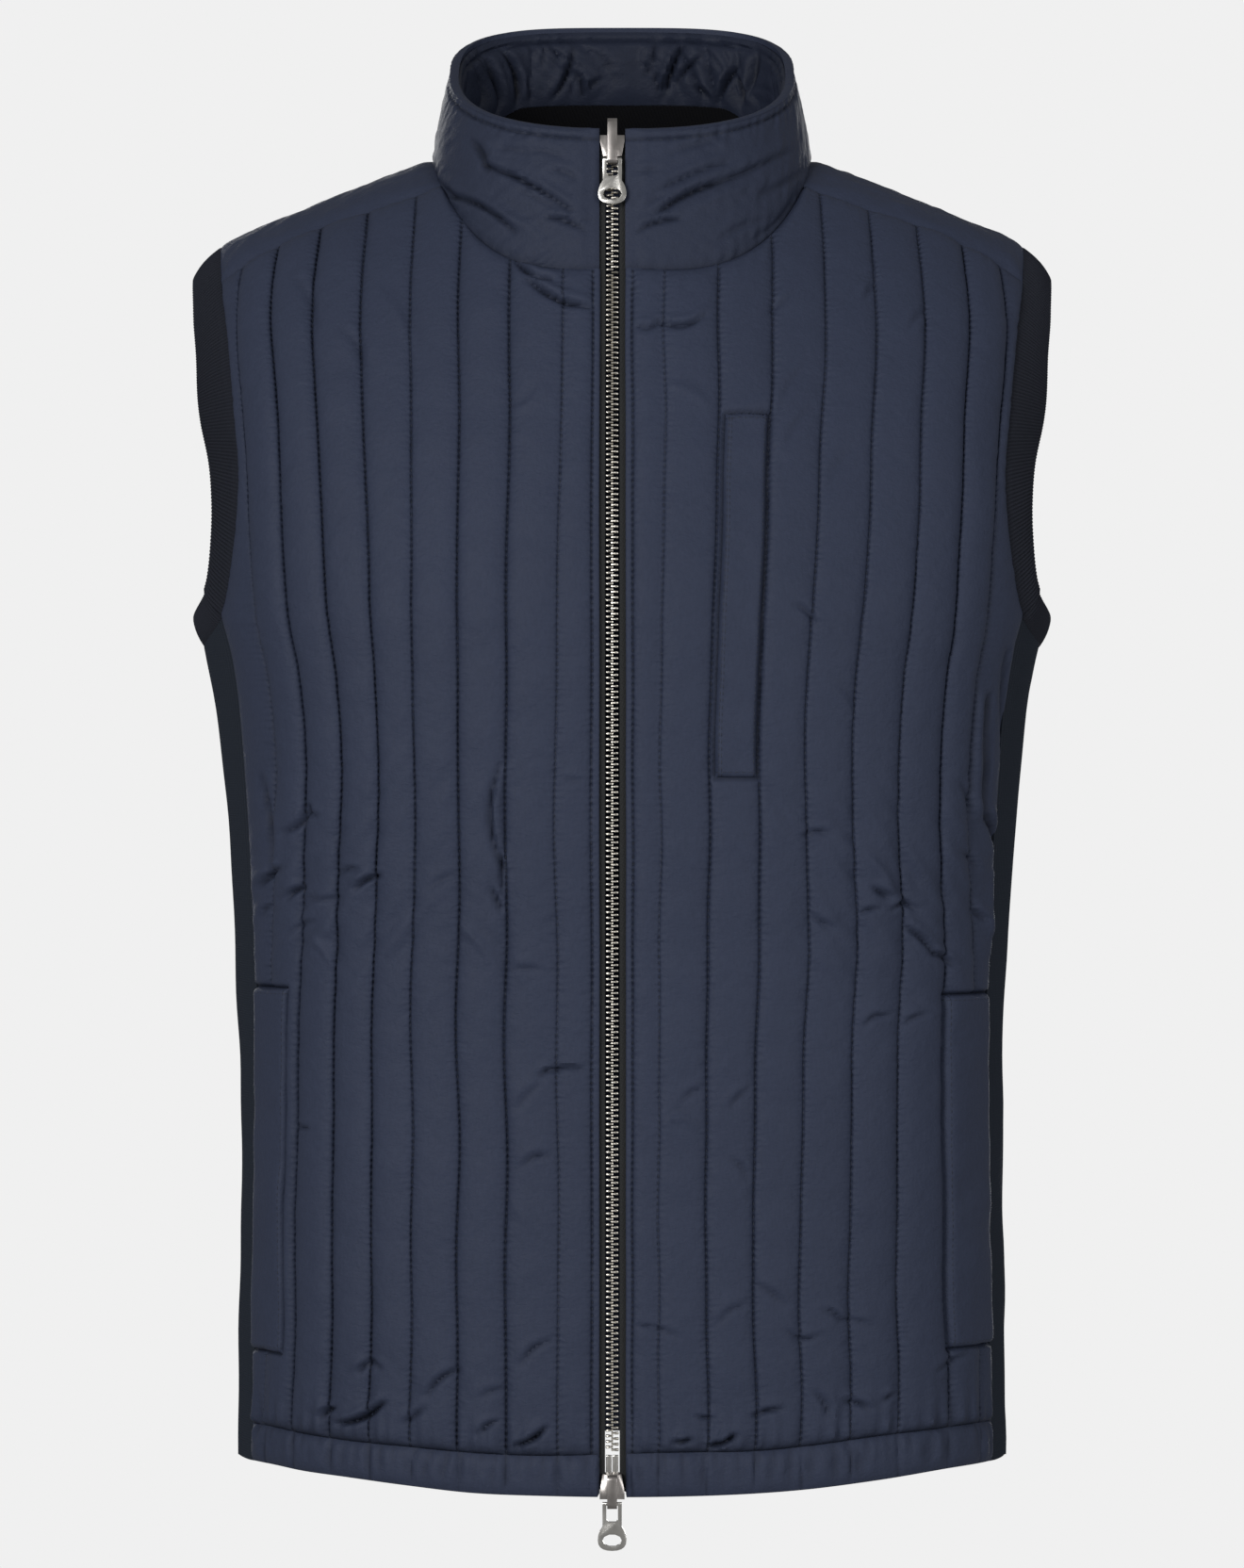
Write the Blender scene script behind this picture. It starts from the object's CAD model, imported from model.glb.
# Dresses the solids of a quilted zip vest: fine quilting, knit, sewing, the zip's teeth and its finish.
# Lengths are in millimetres until a mesh is made, which then holds metres. +Z is up and the front
# faces -Y, and the wearer's left is +X.

import math

import bpy
import numpy as np
from bpy.props import FloatProperty, FloatVectorProperty, IntProperty, PointerProperty
from bpy.types import Operator, Panel, PropertyGroup
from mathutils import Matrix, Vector


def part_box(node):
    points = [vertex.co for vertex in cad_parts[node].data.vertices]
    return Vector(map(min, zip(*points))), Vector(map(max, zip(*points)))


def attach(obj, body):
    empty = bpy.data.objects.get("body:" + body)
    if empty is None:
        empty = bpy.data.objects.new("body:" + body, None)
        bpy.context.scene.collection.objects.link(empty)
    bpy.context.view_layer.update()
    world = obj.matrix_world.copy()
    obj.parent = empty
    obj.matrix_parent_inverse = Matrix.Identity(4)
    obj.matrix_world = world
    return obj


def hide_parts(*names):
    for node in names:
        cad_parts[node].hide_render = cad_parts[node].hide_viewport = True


bl_info = {
    "name": "Quilted Vest",
    "version": (1, 0, 0),
    "blender": (4, 5, 0),
    "location": "3D View > Sidebar > Vest",
    "description": "Dresses a quilted vest's solids with cloth, knit, sewing and a metal zip",
    "category": "Add Mesh",
}

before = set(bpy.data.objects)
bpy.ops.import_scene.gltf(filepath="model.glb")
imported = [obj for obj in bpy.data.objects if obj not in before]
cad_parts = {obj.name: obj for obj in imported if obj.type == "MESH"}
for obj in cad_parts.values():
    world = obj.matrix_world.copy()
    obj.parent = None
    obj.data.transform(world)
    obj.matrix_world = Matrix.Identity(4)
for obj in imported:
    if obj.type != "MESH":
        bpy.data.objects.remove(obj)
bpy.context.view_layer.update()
BODY = "vest"

# The form: the same driving sizes as the solids
HEM_Z = -634
CHEST_Z = -226
RIDGE_Y = 5
RING_POWER = 2.4
TORSO = [
    {"z": -634, "half": 186.5, "front": 131, "back": 122},
    {"z": -560, "half": 186.4, "front": 133, "back": 123},
    {"z": -450, "half": 185.6, "front": 133, "back": 121},
    {"z": -381, "half": 188.0, "front": 134, "back": 120},
    {"z": -312, "half": 192.7, "front": 137, "back": 121},
    {"z": -265, "half": 197.8, "front": 139, "back": 123},
    {"z": -226, "half": 205.0, "front": 140, "back": 125},
]
SHOULDER_SLOPE = 0.4
NECK_SIDE_X = 95.9
ARCH = {
    "front": {"neck_power": 1.5, "arm_power": 1.0, "middle_top": 52},
    "back": {"neck_power": 0.66, "arm_power": 0.9, "middle_top": 48},
}
ARCH_ARM_X = 195
NECK = {"half": 92, "front": 97, "back": 76, "front_power": 2.4, "back_power": 2.4}
COLLAR_TOP = {"half": 83, "front": 85, "back": 69, "front_power": 2.4, "back_power": 3.2}
COLLAR_TOP_FRONT_Z = 8
COLLAR_TOP_RISE = 0.445
COLLAR_STRAIGHT = {"from": 18, "to": 62}
UNDERARM_LEVEL = 1.012
SHOULDER_SEAM = [
    {"x": 60, "level": 1.787},
    {"x": 100, "level": 1.787},
    {"x": 145, "level": 1.785},
    {"x": 158, "level": 1.772},
    {"x": 176, "level": 1.743},
    {"x": 195, "level": 1.7},
]
SIDE_SEAM = [
    {"level": 0, "arc": 205.4},
    {"level": 0.14, "arc": 204.5},
    {"level": 0.35, "arc": 202.2},
    {"level": 0.6, "arc": 201},
    {"level": 0.846, "arc": 205},
    {"level": 0.956, "arc": 208.6},
    {"level": 1.012, "arc": 216.7},
]
ARMHOLE = [
    {"level": 1.012, "x": 192},
    {"level": 1.036, "x": 189.5},
    {"level": 1.09, "x": 186.5},
    {"level": 1.166, "x": 183.6},
    {"level": 1.252, "x": 182.6},
    {"level": 1.345, "x": 185},
    {"level": 1.512, "x": 189.5},
    {"level": 1.651, "x": 193.6},
    {"level": 1.747, "x": 195},
    {"level": 1.861, "x": 196},
    {"level": 2, "x": 196.5},
]
CHANNEL = 24.1
LINES = 8
SPREAD_ARC = 168.7
SPREAD = [
    {"level": 0, "share": -0.02},
    {"level": 0.3, "share": -0.03},
    {"level": 0.57, "share": -0.045},
    {"level": 0.8, "share": -0.085},
    {"level": 0.93, "share": -0.07},
    {"level": 1, "share": -0.042},
    {"level": 1.25, "share": -0.005},
    {"level": 1.52, "share": 0.045},
    {"level": 1.76, "share": 0.03},
    {"level": 2, "share": 0.03},
]
WALL = 2
YOKE_RISE = 2.2

# How far panels stay apart at a seam, along the cloth
GAP = 0.03
HANDS = (("right", -1), ("left", 1))
# How far an edge is tucked under its neighbour, as a seam's allowance is
SIDE_TUCK = 0.6
NECK_TUCK = 0.7
LEVEL_GAP = 0.0002

HEM_BAND = 17
ZIP_X = -4.6
FOLD_EDGE = 6.15
EDGE_STITCH = 9.5
TAPE = {"inner": 3.4, "outer": 13, "front": 2.3, "back": 3.1, "low_level": 0.004, "top_share": 0.955}
CHAIN = {"half": 3.03, "front": 1.5, "back": 3.9}
SIDE_WALL = 1.6
# Ribs in a metre of each knit's own measure
SIDE_KNIT = 620
BAND_KNIT = 480
UNDERARM_DIP = 14.5
ARMHOLE_CENTRE = {"y": -2, "z": -135}
BAND_WALL = 2.4
BAND_BELLY = 1.4
BAND_LEAN = {"side": 40, "ends": 19, "top": -9}
BAND_WIDTH = {"side": 23.5, "ends": -4.5, "top": 3}
COLLAR_WALL = 3.2
COLLAR_ROWS = [
    {"share": 0, "lift": 0},
    {"share": 0.14, "lift": 2},
    {"share": 0.5, "lift": 3},
    {"share": 0.86, "lift": 1.8},
    {"share": 0.98, "lift": 0.3},
    {"share": 1, "lift": -0.8},
]
LINING = {
    "front": 3.5,
    "thick": 1.2,
    "set_back": 1,
    "low": 0.03,
    "meet": 0.41,
    "meet_gap": 0.005,
    "top": 0.965,
}

# The padding over the form: the parts that a broad dome, a rounder shoulder and a narrow groove
# have in a channel's height, and how far beside the stitching the last two reach
PADDING = {"dome": 0.45, "shoulder": 0.3, "groove": 0.25}
DOME_POWER = 2.6
SHOULDER_REACH = 3
GROOVE_REACH = 0.7
LEAST_PULL = 0.3
PUCKER_REACH = 2.6
GATHERS = {"hem": 1.2, "top": 0.35}
WAIST = {"z": -350, "half": 48, "relief": 0.42}
BAND_HEIGHT = 2.4

# Columns of a channel, and a panel's rows below and above the underarm
CHANNEL_STEPS = 16
PANEL_ROWS = {"front": (286, 136), "back": (158, 96)}

# How deep each stitched line pulls in, from the zip or the back's middle outwards. The first
# value of a front is its edge.
LINE_DEPTH = {
    "front_right": (1, 0.35, 0.75, 0.7, 0.4, 0.7, 0.9, 0.95, 0.7, 1),
    "front_left": (1, 0.3, 0.6, 0.6, 0.4, 0.5, 0.65, 0.9, 1, 1),
    "back": (0.5, 0.6, 0.45, 0.65, 0.6, 0.8, 0.9, 0.8, 1),
}

# Welts: their heights and their places across the panel, how high they stand, the seed of their
# noise, how deep the cloth round them is drawn in, and which of their columns are stitched
CHEST_WELT = {
    "low": -300,
    "high": -130.5,
    "from": 51,
    "to": 71,
    "height": 4.2,
    "seed": 51,
    "ditch": 2.2,
    "seams": (4, 6, -5),
}
HAND_WELT_RIGHT = {
    "low": -579,
    "high": -400,
    "from": 177,
    "to": 203.8,
    "height": 4.2,
    "seed": 52,
    "ditch": 2.6,
    "seams": (4,),
}
HAND_WELT_LEFT = {**HAND_WELT_RIGHT, "low": -577, "high": -403, "from": 168, "seed": 53, "ditch": 2.8}

# Creases of the fronts as they show from straight ahead. Each goes from (x, z) to (x, z) with its
# middle bent sideways, and its depth is below the padding. A negative depth is a ridge.
FRONT_CREASES = [
    # Under the collar, on the wearer's right and left
    (-51, -54, -33, -66, -3, 1.6, 2.0),
    (-44, -66, -15, -79, -3, 1.7, 1.9),
    (7, -88, 17, -87, -2, 1.1, 1.5),
    (17, -86, 38, -84, -4, 1.3, 1.6),
    (23, -118, 39, -127, 2, -0.5, 2.4),
    # Across the upper channels, slanting in from the shoulders
    (-157, -61, -146, -82, 2, 0.5, 3.2),
    (-115, -70, -99, -98, 2, -0.4, 3.6),
    (-132, -88, -122, -106, 2, 0.5, 3.0),
    (-50, -129, -37, -119, -2, -0.5, 2.2),
    (80, -74, 70, -81, 1, 0.6, 2.0),
    (121, -66, 115, -73, 1, 0.7, 1.8),
    (144, -78, 136, -87, 1, 0.6, 2.0),
    (84, -109, 73, -129, 2, 0.45, 2.4),
    (88, -128, 76, -146, 2, 0.4, 2.4),
    (107, -146, 96, -166, 2, 0.35, 2.6),
    (81, -220, 90, -229, 1, 0.8, 1.9),
    (94, -257, 107, -270, 1, -0.5, 2.6),
    # The waist, where the cloth bends most
    (-157, -326, -146, -314, -2, 1.2, 1.8),
    (-147, -314, -142, -318, -1, 0.9, 1.6),
    (-171, -352, -160, -343, 1, 1.4, 1.7),
    (-156, -357, -149, -352, 1, 1.4, 1.6),
    (-170, -366, -166, -361, 1, 0.9, 1.5),
    (-131, -345, -122, -343, 1, 0.9, 1.6),
    (-123, -352, -113, -346, 1, 1.5, 1.6),
    (-146, -357, -132, -356, -1, 0.6, 2.0),
    (-156, -374, -144, -368, 1, 0.6, 2.2),
    (-143, -376, -133, -391, 1, -0.5, 2.6),
    (-89, -352, -76, -345, 1, 0.5, 2.2),
    (-75, -369, -57, -391, 2, -0.6, 3.0),
    (-56, -294, -55, -342, -5.6, 1.25, 1.8),
    (-55.6, -334, -55, -356, -0.5, 1.0, 1.5),
    (-60, -352, -56, -362, 0, 1.2, 1.5),
    (-26, -301, -20, -302, 0, 0.7, 1.4),
    (-51, -390, -38, -390, 1, 0.5, 2.0),
    (67, -302, 82, -328, -2, 0.35, 2.2),
    (84, -327, 95, -326, 1, 0.9, 1.6),
    (117, -352, 123, -356, 0, 1.3, 1.6),
    (111, -364, 118, -362, 1, 0.8, 1.5),
    (126, -362, 136, -362, 3, 1.1, 1.6),
    (133, -371, 145, -383, 1, 1.3, 1.8),
    (145, -383, 155, -389, 1, 1.15, 1.7),
    (158, -303, 164, -318, 1, 0.8, 1.8),
    (160, -336, 167, -343, 1, 0.9, 1.8),
    (166, -363, 171, -368, 0, 1.1, 1.6),
    (88, -365, 96, -370, 0, 0.8, 1.7),
    (113, -337, 125, -352, 1, -0.6, 2.4),
    (113, -416, 123, -412, 2, 0.8, 1.7),
    (132, -416, 140, -412, 1, 0.8, 1.7),
    # Long upright folds beside the wearer's left side seam
    (173, -262, 172, -318, 1, 2.4, 2.3),
    (172, -318, 181, -346, 2, 2.4, 2.3),
    (181, -346, 179, -384, 1, 2.2, 2.2),
    (182, -240, 184, -300, -2, 1.5, 2.2),
    (-170, -300, -166, -345, 2, 1.4, 2.0),
    # Lower down, short and far apart
    (-152, -465, -146, -466, 0, 0.9, 1.4),
    (-38, -439, -30, -436, 1, 1.2, 1.4),
    (-30, -436, -18, -436, 1, 1.0, 1.4),
    (-48, -454, -38, -443, 1, 0.6, 1.9),
    (-46, -481, -34, -476, 2, 1.0, 1.5),
    (-50, -500, -42, -510, 1, -0.4, 2.0),
    (29, -450, 37, -445, 1, 0.7, 1.7),
    (50, -454, 58, -446, 1, 0.8, 1.7),
    (20, -461, 34, -463, 4, -0.7, 1.8),
    (51, -478, 58, -487, 1, 0.8, 1.8),
    (62, -537, 75, -547, 1, 0.8, 1.8),
    (45, -555, 58, -546, 2, 0.7, 1.8),
    (7, -556, 25, -561, 1, 0.7, 1.4),
    (94, -551, 101, -556, 1, 1.0, 1.7),
    (101, -556, 116, -561, 1, 0.6, 1.6),
    (77, -560, 91, -563, -3, 0.8, 1.6),
    # Just above the hem band, where the channels end in gathers
    (-122, -583, -116, -577, 1, 1.2, 1.5),
    (-116, -577, -112, -580, 0, 0.9, 1.4),
    (-90, -591, -76, -578, 2, 1.2, 1.6),
    (-65, -590, -55, -586, 1, 0.7, 1.8),
    (-46, -573, -34, -563, 2, 1.0, 1.5),
    (-140, -607, -134, -602, 1, 1.6, 1.6),
    (-131, -609, -111, -597, -2, 2.2, 1.9),
    (-100, -605, -92, -598, 0, 1.0, 1.8),
    (-65, -607, -58, -601, 1, 1.2, 1.5),
    (-48, -612, -36, -604, -1, 2.0, 1.7),
    (35, -600, 41, -601, 0, 1.0, 1.5),
    (25, -612, 31, -611, 0, 1.8, 1.5),
    (41, -614, 52, -609, -1, 2.0, 1.7),
    (62, -600, 73, -598, 1, 1.3, 1.7),
    (90, -592, 96, -604, 1, 1.0, 1.8),
    (104, -598, 114, -603, 1, 1.1, 1.7),
    (122, -600, 127, -598, 1, 0.9, 1.5),
    (148, -588, 160, -582, 1, 0.7, 2.0),
]

# Creases of the back, which the photo hides: the same kinds, placed for a resting back.
BACK_CREASES = [
    (-120, -52, -98, -70, 2, 0.8, 2.6),
    (112, -48, 95, -66, -2, 0.7, 2.8),
    (-60, -38, -30, -46, 3, 1.0, 2.4),
    (28, -44, 56, -37, 3, 0.9, 2.4),
    (-146, -120, -130, -146, 2, 0.7, 2.8),
    (150, -132, 134, -152, -2, 0.8, 2.6),
    (-152, -300, -138, -313, 1, 1.2, 1.9),
    (-128, -332, -112, -324, -2, 1.1, 1.8),
    (-96, -350, -82, -341, 1, 1.3, 1.8),
    (-64, -338, -50, -346, 2, 0.8, 1.9),
    (-34, -358, -22, -352, 1, 0.9, 1.7),
    (-8, -344, 9, -348, 2, 1.0, 1.9),
    (24, -352, 38, -344, 1, 1.1, 1.7),
    (52, -335, 64, -343, 1, 0.9, 1.8),
    (78, -350, 94, -340, 2, 1.3, 1.8),
    (106, -328, 120, -336, 1, 1.2, 1.8),
    (134, -318, 150, -306, 1, 1.3, 1.8),
    (-140, -366, -126, -358, 1, 0.8, 1.9),
    (120, -368, 136, -361, 1, 0.9, 1.8),
    (-42, -430, -30, -424, 1, 0.7, 1.8),
    (58, -448, 70, -441, 1, 0.8, 1.8),
    (-110, -470, -98, -463, 1, 0.7, 1.8),
    (96, -520, 108, -513, 1, 0.8, 1.8),
    (-70, -540, -57, -548, 1, 0.8, 1.8),
    (12, -560, 25, -553, 1, 0.7, 1.7),
    (-150, -604, -140, -596, 1, 1.6, 1.7),
    (-118, -606, -108, -600, 1, 1.2, 1.6),
    (-84, -609, -70, -599, -1, 2.0, 1.8),
    (-38, -606, -30, -600, 1, 1.2, 1.6),
    (-6, -610, 6, -601, 1, 1.8, 1.7),
    (34, -606, 42, -601, 1, 1.1, 1.5),
    (66, -610, 80, -600, -1, 1.9, 1.8),
    (112, -606, 122, -599, 1, 1.3, 1.6),
    (146, -602, 156, -595, 1, 1.2, 1.7),
]

# Drags of the stand collar, in the same way: from its sides down towards the zip.
COLLAR_CREASES = [
    (-71, 4, -64, -9, 1, 1.6, 2.8),
    (-65, -8, -24, -32, 1.5, 1.8, 1.7),
    (-82, -21, -51, -41, 2.5, 1.7, 1.9),
    (-35, -35, -18, -41, 1, 1.4, 1.5),
    (-23, -36, -14, -36, 0, 0.8, 1.3),
    (-33, -12, -21, -17, 1, 0.8, 1.6),
    (-55, -9, -40, -17, 1, 0.7, 1.5),
    (-62, -30, -38, -46, 2, -0.6, 3.4),
    (-45, -2, -28, -6, 1, 0.6, 2.2),
    (16, -34, 42, -19, 1.5, 1.8, 1.7),
    (42, -19, 79, 1, -1.5, 1.1, 2.1),
    (14, -24, 49, -8, 1, 1.2, 1.8),
    (7, -42, 27, -36, 1.5, 1.5, 1.5),
    (8, -13, 16, -12, 0, 0.8, 1.4),
    (62, -44, 84, -16, -4, 0.9, 3.0),
    (22, -31, 52, -14, 1, 0.5, 3.6),
    (48, -44, 70, -34, 1.5, 0.8, 2.6),
    (66, -22, 86, -8, -1, 0.9, 2.6),
    (24, -4, 44, 2, 0.5, 0.6, 1.7),
    (11, -29, 22, -24, 0.5, 0.7, 1.5),
    (-48, -22, -30, -31, 0.5, 0.7, 1.4),
    (-90, -14, -80, -22, 1, 1.0, 2.4),
    (-60, 0, -46, -3, 0.5, 0.7, 2.0),
    (36, -30, 62, -18, 1, -0.6, 2.8),
    (30, 0, 52, 5, 1, 0.6, 2.2),
]
COLLAR_BACK_CREASES = [
    (-64, 4, -30, -14, 3, 1.1, 3.4),
    (-40, 34, -12, 20, 2, 0.8, 3.2),
    (58, 8, 28, -10, -3, 1.2, 3.4),
    (34, 36, 8, 24, -2, 0.8, 3.2),
    (-10, 6, 12, 0, 2, 0.7, 3.0),
]

# How far each front's lines stray outwards from even channels, at the waist and near the hem
LINE_SHIFT = {
    "front_right": [
        {"u": 0, "waist": 0, "low": 0},
        {"u": 8, "waist": 0, "low": 0},
        {"u": 24, "waist": 2.9, "low": 2.1},
        {"u": 48, "waist": 3.5, "low": 2.8},
        {"u": 72, "waist": 3.3, "low": 2},
        {"u": 96, "waist": 2.6, "low": 1.8},
        {"u": 121, "waist": 0, "low": 0},
        {"u": 145, "waist": -0.5, "low": -1.2},
        {"u": 169, "waist": 0, "low": 0},
        {"u": 210, "waist": 0, "low": 0},
    ],
    "front_left": [
        {"u": 0, "waist": 0, "low": 0},
        {"u": 8, "waist": 0, "low": 0},
        {"u": 24, "waist": -2.1, "low": -3},
        {"u": 48, "waist": -2.8, "low": -5.2},
        {"u": 72, "waist": -2.8, "low": -6.8},
        {"u": 96, "waist": -3.2, "low": -8.6},
        {"u": 121, "waist": -1.9, "low": -8.4},
        {"u": 145, "waist": 0.4, "low": -7},
        {"u": 169, "waist": 3, "low": 0},
        {"u": 186, "waist": 2.6, "low": 2.5},
        {"u": 204, "waist": 0, "low": 0},
        {"u": 210, "waist": 0, "low": 0},
    ],
}

# Folds of the lining at the back of the neck, as seen from the front
LINING_CREASES = [
    (-25, 65, -37, 39, -2, 2.0, 1.9),
    (-23, 54, -21, 40, 1, 1.8, 1.9),
    (-11, 51, -17, 44, 1, 1.5, 1.8),
    (-11, 63, -7, 41, 4, 1.3, 1.8),
    (16, 74, 12, 53, -2, 1.4, 1.7),
    (31, 67, 21, 39, 1, 2.5, 1.9),
    (17, 53, 20, 40, 0, 1.8, 1.6),
    (41, 61, 29, 49, 1, 1.5, 2.0),
    (61, 55, 51, 38, 1, 2.1, 1.9),
    (39, 46, 47, 38, 1, 2.0, 1.8),
    (62, 49, 64, 38, 1, 2.2, 2.2),
    (-67, 66, -55, 50, 1, 1.8, 2.2),
    (-57, 52, -55, 38, 1, 2.6, 2.8),
    (-49, 49, -47, 38, 0, 1.9, 1.9),
    (-40, 66, -42, 57, 0, 0.8, 1.8),
    (1, 66, 3, 48, 1, -0.8, 2.4),
    (-74, 58, -66, 40, 1, 1.8, 2.2),
    (72, 62, 68, 42, -1, 1.8, 2.2),
]

# How far the front hem's edge and its seam are raised, over x
HEM_RISE = [
    {"x": -190, "edge": 5.2, "seam": 6.2},
    {"x": -168, "edge": 6.4, "seam": 7.5},
    {"x": -151, "edge": 5.4, "seam": 6.2},
    {"x": -130, "edge": 4.4, "seam": 4.8},
    {"x": -101, "edge": 2.1, "seam": 3.4},
    {"x": -70, "edge": -0.4, "seam": 1.5},
    {"x": -40, "edge": -1.2, "seam": 0.6},
    {"x": 0, "edge": -1.7, "seam": 1.6},
    {"x": 30, "edge": -1.4, "seam": 2.3},
    {"x": 60, "edge": -0.6, "seam": 2.4},
    {"x": 87, "edge": 0.8, "seam": 4.2},
    {"x": 120, "edge": 3.5, "seam": 7.4},
    {"x": 151, "edge": 6, "seam": 8.7},
    {"x": 168, "edge": 6.2, "seam": 8.8},
    {"x": 190, "edge": 5.2, "seam": 7.2},
]


def column(table, name):
    return np.array([row[name] for row in table], float)


def smooth(table, key, at, name):
    """A table's column over its key: cubic pieces whose slope at a row is that of the line
    between its two neighbours."""
    keys = column(table, key)
    values = column(table, name)
    at = np.asarray(at, float)
    last = len(keys) - 1
    low = np.maximum(np.arange(last + 1) - 1, 0)
    high = np.minimum(np.arange(last + 1) + 1, last)
    slope = (values[high] - values[low]) / (keys[high] - keys[low])
    k = np.clip(np.searchsorted(keys, at, side="right") - 1, 0, last - 1)
    span = keys[k + 1] - keys[k]
    t = np.clip((at - keys[k]) / span, 0, 1)
    rise = t * t * (3 - 2 * t)
    ease = t * (1 - t) * span
    return values[k] + (values[k + 1] - values[k]) * rise + ease * ((1 - t) * slope[k] - t * slope[k + 1])


def ease(t):
    """0 up to 0 and 1 from 1 on, with a level start and end between them."""
    t = np.clip(t, 0, 1)
    return t * t * (3 - 2 * t)


def plan_point(loop, turn):
    """A superellipse in plan by its turn from the front: half width times the sine, and depth
    times the cosine, each to the power two over the loop's own."""
    s, c = np.sin(turn), np.cos(turn)
    power = 2 / np.where(c > 0, loop["front_power"], loop["back_power"])
    depth = np.where(c > 0, -loop["front"], loop["back"])
    return loop["half"] * np.sign(s) * np.abs(s) ** power, depth * np.abs(c) ** power


def plan_value(loop, x, y):
    """Over 1 outside a plan loop and under 1 inside it."""
    power = np.where(y < 0, loop["front_power"], loop["back_power"])
    depth = np.where(y < 0, loop["front"], loop["back"])
    return (np.abs(x) / loop["half"]) ** power + (np.abs(y) / depth) ** power


def bisect(low, high, test):
    """The place between low and high where the test turns true, halved 40 times."""
    low, high = np.broadcast_arrays(np.asarray(low, float), np.asarray(high, float))
    for _ in range(40):
        middle = (low + high) / 2
        hit = test(middle)
        high = np.where(hit, middle, high)
        low = np.where(hit, low, middle)
    return (low + high) / 2


# Rings of the body, kept as points at even shares of their half length
RING_Z = np.linspace(HEM_Z, CHEST_Z, 97)
RING_SHARES = np.linspace(0, 1, 901)


def ring_tables():
    """Each ring's half length and its points: the superellipse's points are measured along the
    loop and read off at even shares of its length."""
    turn = np.linspace(0, math.pi, 2401)
    lengths, xs, ys = [], [], []
    for z in RING_Z:
        loop = {
            "half": smooth(TORSO, "z", z, "half"),
            "front": smooth(TORSO, "z", z, "front"),
            "back": smooth(TORSO, "z", z, "back"),
            "front_power": RING_POWER,
            "back_power": RING_POWER,
        }
        x, y = plan_point(loop, turn)
        arc = np.concatenate([[0], np.cumsum(np.hypot(np.diff(x), np.diff(y)))])
        lengths.append(arc[-1])
        xs.append(np.interp(RING_SHARES * arc[-1], arc, x))
        ys.append(np.interp(RING_SHARES * arc[-1], arc, y))
    return np.array(lengths), np.array(xs), np.array(ys)


RING_LENGTHS, RING_X, RING_Y = ring_tables()
CHEST_LENGTH = RING_LENGTHS[-1]
CHEST_HALF = TORSO[-1]["half"]


def ring_length(z):
    return np.interp(z, RING_Z, RING_LENGTHS)


def ring_point(z, arc):
    """x and y of a ring at a height, by arc from its front middle, read between the ring tables'
    nearest points."""
    side = np.where(arc < 0, -1, 1)
    share = np.clip(np.abs(arc) / ring_length(z), 0, 1) * (len(RING_SHARES) - 1)
    up = np.clip((z - RING_Z[0]) / (RING_Z[1] - RING_Z[0]), 0, len(RING_Z) - 1)
    j = np.minimum(share.astype(int), len(RING_SHARES) - 2)
    i = np.minimum(up.astype(int), len(RING_Z) - 2)
    g, f = share - j, up - i

    def between(table):
        low = table[i, j] * (1 - g) + table[i, j + 1] * g
        high = table[i + 1, j] * (1 - g) + table[i + 1, j + 1] * g
        return low * (1 - f) + high * f

    return side * between(RING_X), between(RING_Y)


def ridge_height(x, face):
    """Height of the shoulder ridge over x: a straight fall outside the neck, and a rounded guide
    inside it."""
    out = np.abs(x)
    w = np.clip(1 - out / NECK_SIDE_X, 0, 1)
    lean = SHOULDER_SLOPE * NECK_SIDE_X * w * (1 - w) ** 2
    inside = lean + ARCH[face]["middle_top"] * w * w * (3 - 2 * w)
    return np.where(out >= NECK_SIDE_X, -SHOULDER_SLOPE * (out - NECK_SIDE_X), inside)


def chest_depth(x, face):
    """Depth of the chest ring at x."""
    share = np.minimum((np.abs(x) / CHEST_HALF) ** RING_POWER, 1)
    return TORSO[-1][face] * (1 - share) ** (1 / RING_POWER)


def arch_power(x, face):
    sizes = ARCH[face]
    blend = ease((np.abs(x) - NECK_SIDE_X) / (ARCH_ARM_X - NECK_SIDE_X))
    return sizes["neck_power"] + (sizes["arm_power"] - sizes["neck_power"]) * blend


def arch_point(x, turn, face):
    """The arch over x: its depth goes with the cosine of the turn, and its height above the chest
    with the sine to the arch's power."""
    toward = -1 if face == "front" else 1
    reach = chest_depth(x, face) - toward * RIDGE_Y
    rise = ridge_height(x, face) - CHEST_Z
    up = np.maximum(np.sin(turn), 0) ** arch_power(x, face)
    y = RIDGE_Y + toward * reach * np.cos(turn)
    return np.stack(np.broadcast_arrays(x, y, CHEST_Z + rise * up), -1)


def form_point(arc, level, face):
    """A point of the front or back form by arc from its middle and level: 0 at the hem, 1 at the
    chest and 2 on the shoulder ridge."""
    arc, level = np.broadcast_arrays(np.asarray(arc, float), np.asarray(level, float))
    side = np.where(arc < 0, -1, 1)
    z = HEM_Z + (CHEST_Z - HEM_Z) * np.minimum(level, 1)
    reach = side * ring_length(z) - arc if face == "back" else arc
    x, y = ring_point(z, reach)
    low = np.stack([x, y, HEM_Z + (CHEST_Z - HEM_Z) * level], -1)
    high = arch_point(x, np.clip(level - 1, 0, 1) * math.pi / 2, face)
    return np.where((level <= 1)[..., None], low, high)


def unit(v):
    return v / np.maximum(np.linalg.norm(v, axis=-1, keepdims=True), 1e-9)


def on_form(arc, level, face):
    """A point of the form and its outward normal, from the steps across and up."""
    across = form_point(arc + 0.4, level, face) - form_point(arc - 0.4, level, face)
    up = form_point(arc, level + 0.002, face) - form_point(arc, level - 0.002, face)
    normal = unit(np.cross(across, up))
    return form_point(arc, level, face), -normal if face == "back" else normal


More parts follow.
